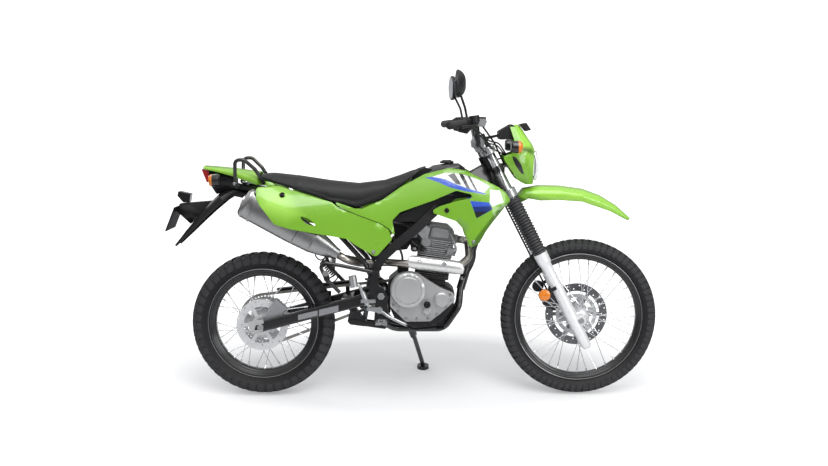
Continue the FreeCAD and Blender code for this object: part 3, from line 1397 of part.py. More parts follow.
throttle = tube("ThrottleBody", [port_point(-PORT_X - GAP, 0), port_point(-PORT_X - 34, 0), (-112, 0, 738),
                                 (-160 + GAP, 0, 744)], 22, bend=60)
airbox = slab("AirBox", [(-160, 702), (-160, 800), (-210, 806), (-296, 812), (-296, 716), (-250, 702)],
              -58, 58, round_off=14)
piece(both_in_one("Intake", [throttle, airbox]), "intake")

# Exhaust
HEADER = size("header_radius")
MUFFLER_FRONT = Vector(-352, -130, 628)
MUFFLER_REAR = Vector(-750, -130, 858)
MUFFLER_AXIS = (MUFFLER_REAR - MUFFLER_FRONT).normalize()
HEADER_Y = -132
header_points = [port_point(PORT_X + GAP, PORT_Y), port_point(PORT_X + 46, PORT_Y), (206, -92, 612), (166, HEADER_Y, 583),
                 (-56, HEADER_Y, 590), (-146, -72, 588), (-262, -72, 584),
                 MUFFLER_FRONT - MUFFLER_AXIS * 46, MUFFLER_FRONT - MUFFLER_AXIS * GAP]
piece(tube("ExhaustHeader", header_points, HEADER, bend=46), "exhaust_header")


def heat_shield():
    """A pressed shield that wraps the outer half of the header pipe, with round ends."""
    outer_r = HEADER.value + 11
    low, high = Vector(-40, HEADER_Y, 589), Vector(168, HEADER_Y, 583)
    forms = []
    along = high - low
    shell = rod("HeatShield_outer", low, high, outer_r)
    core = rod("HeatShield_inner", low - along * 0.1, high + along * 0.1, outer_r - 2.5)
    keep = block("HeatShield_keep", (-60, -190, 540), (200, -138, 640))
    shape = doc.addObject("Part::MultiCommon", "HeatShield_outside")
    shape.Shapes = [cut("HeatShield_tube", shell, [core]), keep]
    forms.append(shape)
    stays = []
    for x in (-10, 142):
        stays.append(rod("HeatShield_stay_%d" % (x > 0), (x, HEADER_Y - HEADER.value - GAP, 587),
                         (x, HEADER_Y - outer_r + 0.8, 587), 7))
    return fuse("HeatShield", forms + stays)


piece(heat_shield(), "heat_shield")


def muffler():
    """A tapered steel silencer with a front cone, a welded end ring and an open outlet."""
    along = (MUFFLER_REAR - MUFFLER_FRONT)
    tall, wide = num("muffler_height"), num("muffler_width")
    length = along.Length
    axis = Vector(along).normalize()
    wires = []
    for share, scale in ((0.0, 0.36), (0.14, 0.62), (0.26, 0.82), (0.5, 0.93), (0.90, 1.0)):
        spot = MUFFLER_FRONT + along * share
        w, h = wide * scale, tall * scale
        wires.append(rounded_box_section(spot, along, w, h, w * 0.44))
    body = loft("Muffler_body", wires, ruled=True)
    ring_start = MUFFLER_FRONT + along * 0.9
    ring = loft("Muffler_ring", [
        rounded_box_section(ring_start, along, wide + 5, tall + 5, wide * 0.44),
        rounded_box_section(MUFFLER_FRONT + along * 0.965, along, wide + 3, tall + 3, wide * 0.44),
        rounded_box_section(MUFFLER_REAR, along, wide * 0.8, tall * 0.8, wide * 0.34)], ruled=True)
    outlet = rod("Muffler_outlet", MUFFLER_REAR - axis * 50, MUFFLER_REAR + axis * 6, 26)
    bore = rod("Muffler_bore", MUFFLER_REAR - axis * 40, MUFFLER_REAR + axis * 10, 22)
    return cut("Muffler", fuse("Muffler_form", [body, ring, outlet]), [bore])


piece(muffler(), "muffler")


# Tank, seat and panels
def fuel_tank():
    levels = ((-75, 90, 905, 768, 0.86), (-33, 88, 950, 762, 0.86), (20, 86, 984, 784, 0.86), (52, 82, 1003, 824, 0.88),
              (110, 72, 1012, 914, 0.9), (165, 56, 1011, 966, 0.94), (190, 44, 992, 978, 0.94))
    wires = [shell_section(x, half, top, bottom, foot=foot) for x, half, top, bottom, foot in levels]
    return loft("FuelTank", wires, ruled=True)


piece(fuel_tank(), "fuel_tank")

CAP_AT = Vector(112, 0, 1012)
cap_rim = turned("FuelCap_rim", [(GAP, 0), (GAP, 30), (7, 30), (10, 26), (10, 0)], base=CAP_AT, axis=(0, 0, 1))
cap_grip = block("FuelCap_grip", CAP_AT + Vector(-20, -6, 8), CAP_AT + Vector(20, 6, 14))
piece(fuse("FuelCap", [cap_rim, cap_grip]), "fuel_cap")


def seat():
    half = num("seat_width") / 2
    levels = ((-690, half * 0.55, 966, 950), (-640, half * 0.75, 964, 936), (-525, half * 0.98, 950, 900),
              (-395, half, 932, 858), (-269, half * 0.86, 922, 826), (-156, half * 0.68, 936, 862),
              (-89, half * 0.62, 957, 913 + GAP), (-4, half * 0.56, 990, 979 + GAP), (22, half * 0.40, 1003, 994 + GAP))
    wires = [shell_section(x, wide, top, bottom, shoulder=0.86, drop=0.16) for x, wide, top, bottom in levels]
    return loft("Seat", wires, ruled=True)


piece(seat(), "seat")


def between(x, marks):
    """The value at x on the straight runs between the marks (x, value), level beyond both ends."""
    if x <= marks[0][0]:
        return marks[0][1]
    for (x0, v0), (x1, v1) in zip(marks, marks[1:]):
        if x <= x1:
            return v0 + (v1 - v0) * (x - x0) / (x1 - x0)
    return marks[-1][1]


FLANK_TOP = ((-690, 917), (-100, 915), (15, 972), (119, 997), (190, 987), (257, 953), (326, 918), (375, 880))
FLANK_INNER = ((-690, 159), (-560, 116), (-100, 114), (60, 104), (190, 122), (280, 160), (360, 186))
FLANK_OUTER = ((-690, 192), (-530, 192), (-130, 141), (60, 160), (200, 185), (300, 196), (375, 198))


def flank_depth(x, z):
    """How far the bodywork stands from the middle plane: out from its top edge to an upright face below."""
    low = min(max((between(x, FLANK_TOP) - z) / 120.0, -0.1), 1.0)
    inner, outer_face = between(x, FLANK_INNER), between(x, FLANK_OUTER)
    return inner + (outer_face - inner) * (1 - (1 - low) ** 2.2)


SHROUD_XS = (-400, -290, -200, -100, 0, 100, 200, 300, 400)
SHROUD_ZS = (620, 700, 780, 860, 940, 1020)
SHROUD_OUTLINE = [
    (-88, 915), (15, 971), (119, 997), (188, 987), (257, 953), (326, 918), (354, 897), (375, 862), (355, 842),
    (300, 776), (272, 737), (245, 688), (210, 664), (198, 680), (179, 741), (147, 776), (36, 814), (78, 838),
    (154, 862), (244, 881), (147, 904), (50, 862), (-89, 811), (-122, 776), (-108, 700), (-134, 740), (-170, 764),
    (-340, 831), (-374, 857), (-278, 828), (-246, 828), (-165, 862)]


def side_shroud():
    return skin("Shroud", flank_depth, SHROUD_XS, SHROUD_ZS, SHROUD_OUTLINE, num("panel_wall"), 12)


piece(pair("TankShrouds", side_shroud()), "tank_shrouds")


PANEL_OUTLINE = [
    (-693, 917), (-690, 872), (-677, 844), (-615, 764), (-546, 743), (-317, 701), (-261, 663), (-199, 626),
    (-186, 626), (-122, 696), (-138, 738), (-172, 761), (-341, 828), (-376, 855), (-603, 921)]
PANEL_WINDOW = [(-517, 803), (-469, 787), (-430, 751), (-482, 766)]


def side_panel():
    outer = skin("SidePanel_skin", flank_depth, (-700, -620, -540, -450, -360, -270, -180, -100),
                 (610, 680, 740, 800, 860, 930), PANEL_OUTLINE, num("panel_wall"), 12)
    window = slab("SidePanel_window", PANEL_WINDOW, -260, -60, round_off=5)
    bolt_hole = rod("SidePanel_bolt_hole", (-584, -260, 885), (-584, -60, 885), 11)
    return cut("SidePanel", outer, [window, bolt_hole])


piece(pair("SidePanels", side_panel()), "side_panels")


def tail_cowl():
    """The rear cowl: a thin tapering cover over the tail, open underneath."""
    half = num("tail_width") / 2
    wall = num("panel_wall")
    spots = ((-692, 976, half, 54), (-800, 991, half * 0.82, 32), (-880, 999, half * 0.70, 20),
             (-932, 1003, half * 0.58, 13))
    wires = []
    for x, z, wide, deep in spots:
        wires.append(channel_section((x, 0, z), (-1, 0, 0.10), wide, deep, wall, crown=0.5))
    forms = [loft("TailCowl_cover", wires, ruled=True)]
    for side in (-1, 1):
        low, high = sorted((side * half, side * (half - wall)))
        forms.append(slab("TailCowl_wing_%d" % (side + 1), [(-704, 950), (-704, 926), (-616, 914), (-630, 932)],
                          low, high, round_off=3))
    return fuse("TailCowl", forms)


piece(tail_cowl(), "tail_cowl")


def mudguard():
    """The rear mudguard: from under the seat back and down behind the wheel."""
    half = num("mudguard_width") / 2
    spots = ((-560, 822, 40, 30), (-700, 884, 44, 34), (-806, 912, 44, 40), (-870, 884, half, 44),
             (-930, 826, half, 38), (-974, 774, half * 0.9, 30), (-1019, 722, half * 0.8, 24), (-1066, 662, half * 0.66, 12))
    wires = []
    for i, (x, z, wide, deep) in enumerate(spots):
        ahead = spots[min(i + 1, len(spots) - 1)]
        behind = spots[max(i - 1, 0)]
        wires.append(channel_section((x, 0, z), (ahead[0] - behind[0], 0, ahead[1] - behind[1]), wide, deep,
                                     num("panel_wall")))
    shell = loft("Mudguard_shell", wires, ruled=True)
    box = slab("Mudguard_tail_box", [(-800, 905), (-800, 972), (-912, 982), (-912, 930), (-880, 880)], -44, 44, round_off=8)
    arm = slab("Mudguard_plate_arm", [(-905, 850), (-1000, 842), (-1044.8, 838), (-1058.6, 804), (-1000, 750), (-940, 812)],
               -20, 20)
    return fuse("Mudguard", [shell, box, arm])


piece(mudguard(), "rear_mudguard")

PLATE_AT = Vector(-1074, 0, 767)
plate_form = block("PlateHolder_form", (-4, -95, -46), (0, 95, 64))
plate_holes = [rod("PlateHolder_hole_%d" % (s + 1), (-10, s * 62.5, 48), (10, s * 62.5, 48), 3.5) for s in (-1, 1)]
holder = cut("PlateHolder", plate_form, plate_holes)
piece(holder, "plate_holder", Placement(PLATE_AT, Rotation(Vector(0, 1, 0), 22)))

plate_lamp = slab("PlateLamp", [(-1050, 892), (-1054, 872), (-1030, 843 + GAP), (-1002, 843 + GAP), (-996, 880)],
                  -22, 22, round_off=4)
tail_lamp = slab("TailLamp", [(-912 - GAP, 982), (-944, 990), (-922, 932), (-912 - GAP, 932)], -44, 44, round_off=3)
piece(both_in_one("TailLamps", [tail_lamp, plate_lamp]), "tail_lamps")

rear_signals = [signal("RearSignal_%d" % (s + 1), (-876, s * (44 + GAP), 944), s, 0.1) for s in (-1, 1)]
piece(both_in_one("RearSignals", rear_signals), "rear_signals")


def grab_bar(side):
    foot = Vector(-789, side * (num("tail_width") / 2 + 14), 929)
    beside = num("tail_width") / 2 + 8 + GAP
    bar = tube("GrabBar_%d_tube" % (side + 1), [
        foot, Vector(-787, side * 116, 1030), Vector(-748, side * 117, 1031), Vector(-704, side * beside, 990),
        Vector(-664, side * beside, 928)], 8, bend=26)
    lug = rod("GrabBar_%d_lug" % (side + 1), (-780, side * (60.3 + 12.5 + GAP), 917), (-780, foot.y, 917), 9)
    pad = rod("GrabBar_%d_pad" % (side + 1), (foot.x, side * 98, 929), (foot.x, side * 116, 929), 11)
    return fuse("GrabBar_%d" % (side + 1), [bar, lug, pad])


piece(both_in_one("GrabBars", [grab_bar(-1), grab_bar(1)]), "grab_bars")

# Footrests and foot controls


def footpeg(side):
    """A rider's peg: a hinge block on the pivot plate and an open toothed tread."""
    root = PLATE_OUTER + GAP
    low, high = sorted((side * root, side * (root + 26)))
    hinge = block("Footpeg_%d_hinge" % (side + 1), (-184, low, 332), (-150, high, 354))
    low, high = sorted((side * (root + 20), side * (root + 92)))
    tread = slab("Footpeg_%d_tread" % (side + 1), [
        (-192, 342), (-144, 342), (-144, 350), (-148, 357), (-154, 350), (-161, 357), (-168, 350), (-175, 357),
        (-182, 350), (-188, 357), (-192, 350)], low, high)
    low, high = sorted((side * (root + 34), side * (root + 84)))
    gap_front = block("Footpeg_%d_gap_0" % (side + 1), (-163, low, 330), (-150, high, 370))
    gap_rear = block("Footpeg_%d_gap_1" % (side + 1), (-186, low, 330), (-173, high, 370))
    return cut("Footpeg_%d" % (side + 1), fuse("Footpeg_%d_form" % (side + 1), [hinge, tread]), [gap_front, gap_rear])


piece(both_in_one("Footpegs", [footpeg(-1), footpeg(1)]), "footpegs")


def passenger_peg(side):
    """A passenger's peg folded up against its tube bracket behind the pivot plate."""
    root = PLATE_OUTER + 8 + GAP
    y = side * (root + 14)
    name = "PassengerPeg_%d" % (side + 1)
    loop = tube(name + "_loop", [(-196, y, 556), (-344, y, 586), (-436, y, 600), (-404, y, 530), (-345, y, 470)],
                8, bend=22)
    foot = rod(name + "_foot", (-196, side * (PLATE_OUTER + GAP), 556), (-196, y + side * 11, 556), 12)
    peg = rod(name + "_peg", (-400, y - side * 3, 528), (-400, y + side * 60, 560), 13)
    return fuse(name, [loop, foot, peg])


piece(both_in_one("PassengerPegs", [passenger_peg(-1), passenger_peg(1)]), "passenger_pegs")

PEDAL_AT = Vector(-178, 0, 392)


def brake_pedal():
    y = -(PLATE_OUTER + GAP)
    boss = rod("BrakePedal_boss", (PEDAL_AT.x, y, PEDAL_AT.z), (PEDAL_AT.x, y - 18, PEDAL_AT.z), 14)
    arm = tube("BrakePedal_arm", [(PEDAL_AT.x, y - 10, PEDAL_AT.z), (-134, y - 24, 364), (-30, y - 42, 318),
                                  (36, y - 48, 326), (72, y - 52, 330)], 7, bend=40)
    pad = block("BrakePedal_pad", (62, y - 74, 324), (96, y - 34, 338))
    crank = link("BrakePedal_crank", (PEDAL_AT.x, PEDAL_AT.z), 12, (-224, 396), 8, y - 12, y - 4)
    return fuse("BrakePedal", [boss, arm, pad, crank])


def rear_master_cylinder():
    y = -(PLATE_OUTER + GAP + 15)
    body = rod("RearMaster_body", (-228, y + 7, 414), (-250, y + 7, 470), 11)
    clevis = rod("RearMaster_rod", (-225, y + 7, 404 + GAP), (-228, y + 7, 416), 5)
    pot = rod("RearMaster_pot", (-284, y, 492), (-292, y, 540), 17)
    hose = tube("RearMaster_hose", [(-250, y + 7, 468), (-262, y + 4, 500), (-280, y, 506)], 7, bend=20)
    stay = block("RearMaster_stay", (-256, -(PLATE_OUTER + GAP) - 20, 424), (-194, -(PLATE_OUTER + GAP), 438))
    return fuse("RearMaster", [body, clevis, pot, hose, stay])


piece(rear_master_cylinder(), "rear_master_cylinder")


def gear_lever():
    edge = CASE_LEFT + 26 + GAP
    shaft = rod("GearLever_shaft", (-78, CASE_LEFT + GAP, 366), (-78, edge + 46, 366), 6.5)
    arm = tube("GearLever_arm", [(-78, edge + 40, 366), (-10, edge + 52, 336), (52, edge + 62, 334)], 6.5, bend=30)
    toe = rod("GearLever_toe", (52, edge + 56, 334), (52, edge + 92, 334), 9)
    return fuse("GearLever", [shaft, arm, toe])


piece(both_in_one("FootControls", [brake_pedal(), gear_lever()]), "foot_controls")


def over_chain(share, clearance):
    """A point (x, z) above the chain's upper run, from the gearbox sprocket at 0 to the wheel sprocket at 1."""
    front = Vector(SPROCKET_AT.x, 0, SPROCKET_AT.z)
    rear = Vector(REAR_AXLE.x, 0, REAR_AXLE.z)
    level = FRONT_PITCH + (REAR_PITCH - FRONT_PITCH) * share + num("chain_plate_height") / 2
    spot = front + (rear - front) * share
    return spot.x, spot.z + level + clearance


def chain_guard():
    """A thin guard over the chain's upper run, on two feet that stand on the swingarm."""
    y_low, y_high = CHAIN_Y - 10, CHAIN_Y + 24
    over = [over_chain(share, 8) for share in (0.33, 0.92)]
    sheet_top = [(over[0][0], over[0][1] + 4), (over[-1][0], over[-1][1] + 4)]
    skirt_low = [(over[0][0], over[0][1] - 18), (over[-1][0], over[-1][1] - 20)]
    top = slab("ChainGuard_top", over + list(reversed(sheet_top)), y_low, y_high)
    skirt = slab("ChainGuard_skirt", skirt_low + list(reversed(sheet_top)), y_high - 3, y_high, round_off=3)
    forms = [top, skirt]
    along = REAR_AXLE - PIVOT
    rise = num("swingarm_front_height") / 2 * along.Length / abs(along.x) + GAP
    for share in (0.30, 0.46):
        spot = along_arm(share)
        foot = [(spot.x + step, spot.z + rise + step * along.z / along.x) for step in (-9, 9)]
        forms.append(slab("ChainGuard_foot_%d" % int(share * 100), foot + [(spot.x + 9, spot.z + 50), (spot.x - 9, spot.z + 50)],
                          y_high - 3, y_high + 8))
    return fuse("ChainGuard", forms)


piece(chain_guard(), "chain_guard")

# Rear axle and brake
outer = num("swingarm_inner") + num("swingarm_wall")
rear_hub_half = num("rear_hub_length") / 2
forms = [rod("RearAxleBar", (0, -outer - 14, 0), (0, outer + 14, 0), AXLE_R)]
for side in (-1, 1):
    nut = add("Part::Prism", "RearAxleNut_%d" % (side + 1), Circumradius=AXLE_R * 1.9, Height=9)
    nut.Polygon = 6
    forms.append(at(nut, (0, side * (outer + GAP + 4.5) - 4.5, 0), (0, 1, 0)))
sleeve_from = {-1: rear_hub_half + num("running_gap"), 1: CHAIN_Y + 4 + num("running_gap")}
for side in (-1, 1):
    forms.append(rod("RearAxleSleeve_%d" % (side + 1), (0, side * sleeve_from[side], 0),
                     (0, side * (num("swingarm_inner") - GAP), 0), AXLE_R + 3))
piece(fuse("RearAxle", forms), "rear_axle", REAR)

REAR_DISC_Y = -rear_hub_half - GAP - num("disc_thickness") / 2
forms = caliper_body("RearCaliper", (66, 72), REAR_DISC_Y, 30, 20, num("rear_disc_radius"), -1)
bracket = link("RearCaliper_bracket", (0, 0), 20, (66, 72), 14, REAR_DISC_Y - 25, REAR_DISC_Y - 17)
axle_room = rod("RearCaliper_axle_room", (0, -140, 0), (0, -40, 0), AXLE_R + 3 + GAP)
piece(cut("RearCaliper", fuse("RearCaliper_form", forms + [bracket]), [axle_room]), "rear_caliper", REAR)

# Side stand, down on the left, in its own frame with x down the leg and z along its hinge
def side_stand():
    half = num("stand_ear_thickness") / 2 + num("running_gap")
    leg_radius = size("stand_leg_radius")
    forms = []
    for side in (-1, 1):
        low, high = sorted((side * half, side * (half + 6)))
        cheek = link("StandCheek_%d" % (side + 1), (0, 0), 15, (46, 0), 12, -high, -low)
        cheek.Placement = Placement(Vector(0, 0, 0), Rotation(Vector(1, 0, 0), 90))
        forms.append(cheek)
    forms.append(rod("StandLeg", (32, 0, 0), (STAND_LENGTH, 0, 0), leg_radius))
    local_up = STAND.inverse().Rotation.multVec(UP_WHEN_LEANT)
    local_foot = STAND.inverse().multVec(STAND_FOOT)
    forms.append(at(add("Part::Cylinder", "StandFoot", Radius=27, Height=size("stand_foot_thickness") + leg_radius),
                    local_foot, local_up))
    bolt = rod("StandBolt", (0, 0, -half - 12), (0, 0, half + 12), 5.5)
    return fuse("SideStand", forms + [bolt])


piece(side_stand(), "side_stand", STAND)

# The whole bike leans over on its stand
LEANT = Placement(Vector(num("origin_x"), num("origin_y"), LIFT), Rotation(Vector(1, 0, 0), -num("lean_angle")))
for item, label, local in pieces:
    item.Placement = LEANT.multiply(local).multiply(item.Placement)
doc.recompute()

faults = [thing.Name for thing in doc.Objects if "Invalid" in thing.State or "Error" in thing.State]
for item, label, local in pieces:
    if item.Shape.isNull() or not item.Shape.isValid() or not item.Shape.Solids:
        faults.append(label)
if faults:
    raise RuntimeError("faulty objects: " + ", ".join(faults))
for item, label, local in pieces:
    item.Shape.exportStep("parts/%s.step" % label)
print("%d sub-parts written" % len(pieces))
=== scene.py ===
# The bike as it is parked: it leans ten degrees to its left on the side stand, and is seen level from its right.
# All sizes below are in millimetres on the upright bike, with x forwards, y to the rider's left and z up.
import json
import math

import bmesh
import bpy
import numpy as np
from mathutils import Matrix, Vector

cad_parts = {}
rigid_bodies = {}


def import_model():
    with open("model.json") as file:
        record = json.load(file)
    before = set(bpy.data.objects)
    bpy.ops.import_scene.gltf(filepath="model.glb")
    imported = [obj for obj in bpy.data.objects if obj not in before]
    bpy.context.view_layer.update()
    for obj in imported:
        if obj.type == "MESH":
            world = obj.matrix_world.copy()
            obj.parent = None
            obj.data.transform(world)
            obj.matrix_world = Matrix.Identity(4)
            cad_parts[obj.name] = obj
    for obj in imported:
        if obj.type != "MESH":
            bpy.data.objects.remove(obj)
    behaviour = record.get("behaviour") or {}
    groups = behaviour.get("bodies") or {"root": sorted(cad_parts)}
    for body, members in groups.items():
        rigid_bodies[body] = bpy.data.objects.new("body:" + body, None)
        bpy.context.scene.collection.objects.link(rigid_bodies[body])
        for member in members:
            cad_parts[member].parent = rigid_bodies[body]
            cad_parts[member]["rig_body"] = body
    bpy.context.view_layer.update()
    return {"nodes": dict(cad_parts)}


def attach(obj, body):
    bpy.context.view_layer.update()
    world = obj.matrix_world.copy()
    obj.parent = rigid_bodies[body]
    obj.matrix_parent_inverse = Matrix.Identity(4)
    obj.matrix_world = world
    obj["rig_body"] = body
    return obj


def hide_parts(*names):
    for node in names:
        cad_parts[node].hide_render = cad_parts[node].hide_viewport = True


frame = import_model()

LEAN = math.radians(10)
LEAN_TURN = np.array(Matrix.Rotation(-LEAN, 3, "X"))
STANCE = np.array((32.163, -212.326, 0.0))


def leant(points):
    """Upright millimetres to the parked bike's metres: turned about the x axis by the lean, then shifted."""
    return (np.asarray(points, float) @ LEAN_TURN.T + STANCE) / 1000


# The camera: a lens of 47 mm, 4.7 m to the bike's right and at the height of its bars, dipped by six degrees.
# The roll of the lean is in its turn, so that the bike stands in the picture as it does in the photograph.
CAMERA_PLACE = (-30, -4700, 1210)
CAMERA_DIP = math.radians(6.1)
CAMERA_LENS = 47.1
camera = bpy.data.objects.new("Camera", bpy.data.cameras.new("Camera"))
camera.data.lens = CAMERA_LENS
camera.data.sensor_width = 36
camera.data.clip_end = 200
camera.location = Vector(leant(CAMERA_PLACE))
camera.rotation_euler = (math.pi / 2 - CAMERA_DIP - LEAN, 0, 0)
bpy.context.scene.collection.objects.link(camera)
bpy.context.scene.camera = camera
bpy.context.scene.view_settings.view_transform = "Standard"

# The studio: a plain pale floor out to the horizon under an even white surround, and three soft lamps. The floor
# keeps its shadows near the motorcycle and fades into the surround away from it.
world = bpy.data.worlds.new("Studio")
bpy.context.scene.world = world
world.use_nodes = True
sky = world.node_tree
FLOOR_REACH = 90.0


def wired(tree, kind, inputs=None, **settings):
    """A new shader node: settings are its own properties, and inputs gives each socket a value or a link."""
    node = tree.nodes.new("ShaderNode" + kind)
    for key, value in settings.items():
        setattr(node, key, value)
    for socket, value in (inputs or {}).items():
        if isinstance(value, bpy.types.NodeSocket):
            tree.links.new(value, node.inputs[socket])
        else:
            node.inputs[socket].default_value = value
    return node


def seen_plainly(tree):
    """1 for camera and transmission rays: the larger of the two Light Path outputs."""
    path = wired(tree, "LightPath")
    seen = {0: path.outputs["Is Camera Ray"], 1: path.outputs["Is Transmission Ray"]}
    return wired(tree, "Math", seen, operation="MAXIMUM").outputs[0]


sky_light = sky.nodes["Background"]
sky_light.inputs["Color"].default_value = (0.93, 0.95, 1.0, 1)
sky_light.inputs["Strength"].default_value = 0.55
sky_seen = wired(sky, "Background", {"Color": (1, 1, 1, 1), "Strength": 1.0})
# In reflections the surround is dark at eye level and white overhead, as under a bank of lamps
sky_way = wired(sky, "SeparateXYZ", {0: wired(sky, "TexCoord").outputs["Generated"]})
sky_rise = wired(sky, "MapRange", {"Value": sky_way.outputs["Z"], "From Min": 0.05, "From Max": 0.75,
                                   "To Min": 0.16, "To Max": 1.25})
sky_mirror = wired(sky, "Background", {"Strength": sky_rise.outputs["Result"]})
glossy_ray = wired(sky, "LightPath").outputs["Is Glossy Ray"]
sky_glossy = wired(sky, "MixShader", {0: glossy_ray, 1: sky_light.outputs[0], 2: sky_mirror.outputs[0]})
sky_mix = wired(sky, "MixShader", {0: seen_plainly(sky), 1: sky_glossy.outputs[0], 2: sky_seen.outputs[0]})
sky.links.new(sky_mix.outputs[0], sky.nodes["World Output"].inputs["Surface"])

floor_mesh = bpy.data.meshes.new("Floor")
floor_corners = [(x * FLOOR_REACH, y * FLOOR_REACH, 0) for x, y in ((-1, -1), (1, -1), (1, 1), (-1, 1))]
floor_mesh.from_pydata(floor_corners, [], [(0, 1, 2, 3)])
floor = bpy.data.objects.new("Floor", floor_mesh)
bpy.context.scene.collection.objects.link(floor)
floor_paint = bpy.data.materials.new("Studio_floor")
floor_paint.use_nodes = True
floor_tree = floor_paint.node_tree
floor_matt = floor_tree.nodes["Principled BSDF"]
floor_matt.inputs["Base Color"].default_value = (0.82, 0.82, 0.82, 1)
floor_matt.inputs["Roughness"].default_value = 0.9
floor_matt.inputs["Specular IOR Level"].default_value = 0.0
floor_glow = wired(floor_tree, "Emission", {"Strength": 1.35})
floor_place = wired(floor_tree, "TexCoord").outputs["Object"]
floor_oval = wired(floor_tree, "Mapping", {"Vector": floor_place, "Scale": (0.62, 1.3, 1.0)})
floor_far = wired(floor_tree, "VectorMath", {0: floor_oval.outputs["Vector"]}, operation="LENGTH")
floor_fade = wired(floor_tree, "MapRange", {"Value": floor_far.outputs["Value"], "From Min": 0.5, "From Max": 1.0,
                                            "To Min": 0.20})
floor_share = wired(floor_tree, "Math", {0: seen_plainly(floor_tree), 1: floor_fade.outputs["Result"]},
                    operation="MULTIPLY")
floor_mix = wired(floor_tree, "MixShader", {0: floor_share.outputs[0], 1: floor_matt.outputs[0],
                                            2: floor_glow.outputs[0]})
floor_tree.links.new(floor_mix.outputs[0], floor_tree.nodes["Material Output"].inputs["Surface"])
floor_mesh.materials.append(floor_paint)


def softbox(name, place, target, size, power):
    """A square soft lamp at place that faces target."""
    lamp = bpy.data.lights.new(name, "AREA")
    lamp.size = size
    lamp.energy = power
    holder = bpy.data.objects.new(name, lamp)
    holder.location = place
    holder.rotation_euler = (Vector(target) - Vector(place)).to_track_quat("-Z", "Y").to_euler()
    bpy.context.scene.collection.objects.link(holder)


softbox("Lamp_over", (0.3, -1.2, 3.6), (0, 0, 0.6), 2.6, 84)
softbox("Lamp_front_right", (2.9, -3.4, 2.0), (0.1, 0, 0.6), 1.8, 52)
softbox("Lamp_rear_left", (-2.6, 3.2, 2.2), (0, 0, 0.6), 2.0, 36)

# Wheels: black rolled rims on wire spokes, with knobbly road-legal tyres of 21 and 18 inches.
# The tyre is one moulded carcass with its tread blocks, and sits between the rim's flanges.
FRONT_AXLE = np.array((690.0, 0, 341))
REAR_AXLE = np.array((-690.0, 0, 313))


def tiles(grid, wrap_rows=False, wrap_columns=False):
    """A grid of points (rows, columns, 3) as vertices and quads; a wrapped direction closes on itself."""
    rows, columns = grid.shape[:2]
    index = np.arange(rows * columns).reshape(rows, columns)
    if wrap_rows:
        index = np.vstack([index, index[:1]])
    if wrap_columns:
        index = np.hstack([index, index[:, :1]])
    quads = np.stack([index[:-1, :-1], index[:-1, 1:], index[1:, 1:], index[1:, :-1]], axis=-1).reshape(-1, 4)
    return grid.reshape(-1, 3), quads


def capped(grid):
    """A tube of rings (rings, around, 3), closed at both ends by a fan to each end ring's middle."""
    points, quads = tiles(grid, wrap_columns=True)
    rings, around = grid.shape[:2]
    first = np.arange(around)
    last = first + (rings - 1) * around
    middle_a, middle_b = len(points), len(points) + 1
    points = np.vstack([points, grid[0].mean(0), grid[-1].mean(0)])
    fan_a = np.stack([np.full(around, middle_a), np.roll(first, -1), first], axis=-1)
    fan_b = np.stack([np.full(around, middle_b), last, np.roll(last, -1)], axis=-1)
    return points, [quads, fan_a, fan_b]


def volume_sign(points, faces):
    """The sign of the volume that the faces enclose, summed as tetrahedra to the origin."""
    total = 0.0
    for block in faces:
        corners = points[block]
        for i in range(1, corners.shape[1] - 1):
            total += np.einsum("ij,ij->i", corners[:, 0], np.cross(corners[:, i], corners[:, i + 1])).sum()
    return 1 if total >= 0 else -1


def shown(name, mesh, sharp):
    """Puts a mesh into the scene, shaded smooth except where two faces meet at more than sharp degrees."""
    mesh.polygons.foreach_set("use_smooth", np.ones(len(mesh.polygons), bool))
    mesh.set_sharp_from_angle(angle=math.radians(sharp))
    item = bpy.data.objects.new(name, mesh)
    bpy.context.scene.collection.objects.link(item)
    return item


def fitted(item, material, body, slot, *nodes):
    """Gives a piece its finish, the body it moves with and the nodes that it stands for; its slot is not used."""
    item.data.materials.clear()
    item.data.materials.append(material)
    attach(item, body)
    if nodes:
        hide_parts(*nodes)
    return item


def piece_of(name, parts, material, body, slot, *nodes, sharp=38):
    """One mesh object from closed parts of (points, faces), each turned so that its faces point outwards, and
    fitted with its finish, body and nodes."""
    all_points, all_faces, start = [], [], 0
    for points, faces in parts:
        faces = faces if isinstance(faces, list) else [faces]
        points = np.asarray(points, float)
        if volume_sign(points - points.mean(0), faces) < 0:
            faces = [block[:, ::-1] for block in faces]
        all_points.append(points)
        all_faces += [block + start for block in faces]
        start += len(points)
    points = leant(np.vstack(all_points))
    mesh = bpy.data.meshes.new(name)
    mesh.vertices.add(len(points))
    mesh.vertices.foreach_set("co", points.astype(np.float32).ravel())
    loops = np.concatenate([block.ravel() for block in all_faces])
    sizes = np.concatenate([np.full(len(block), block.shape[1]) for block in all_faces])
    mesh.loops.add(len(loops))
    mesh.loops.foreach_set("vertex_index", loops.astype(np.int32))
    mesh.polygons.add(len(sizes))
    mesh.polygons.foreach_set("loop_start", (np.cumsum(sizes) - sizes).astype(np.int32))
    mesh.update(calc_edges=True)
    mesh.validate()
    return fitted(shown(name, mesh, sharp), material, body, slot, *nodes)


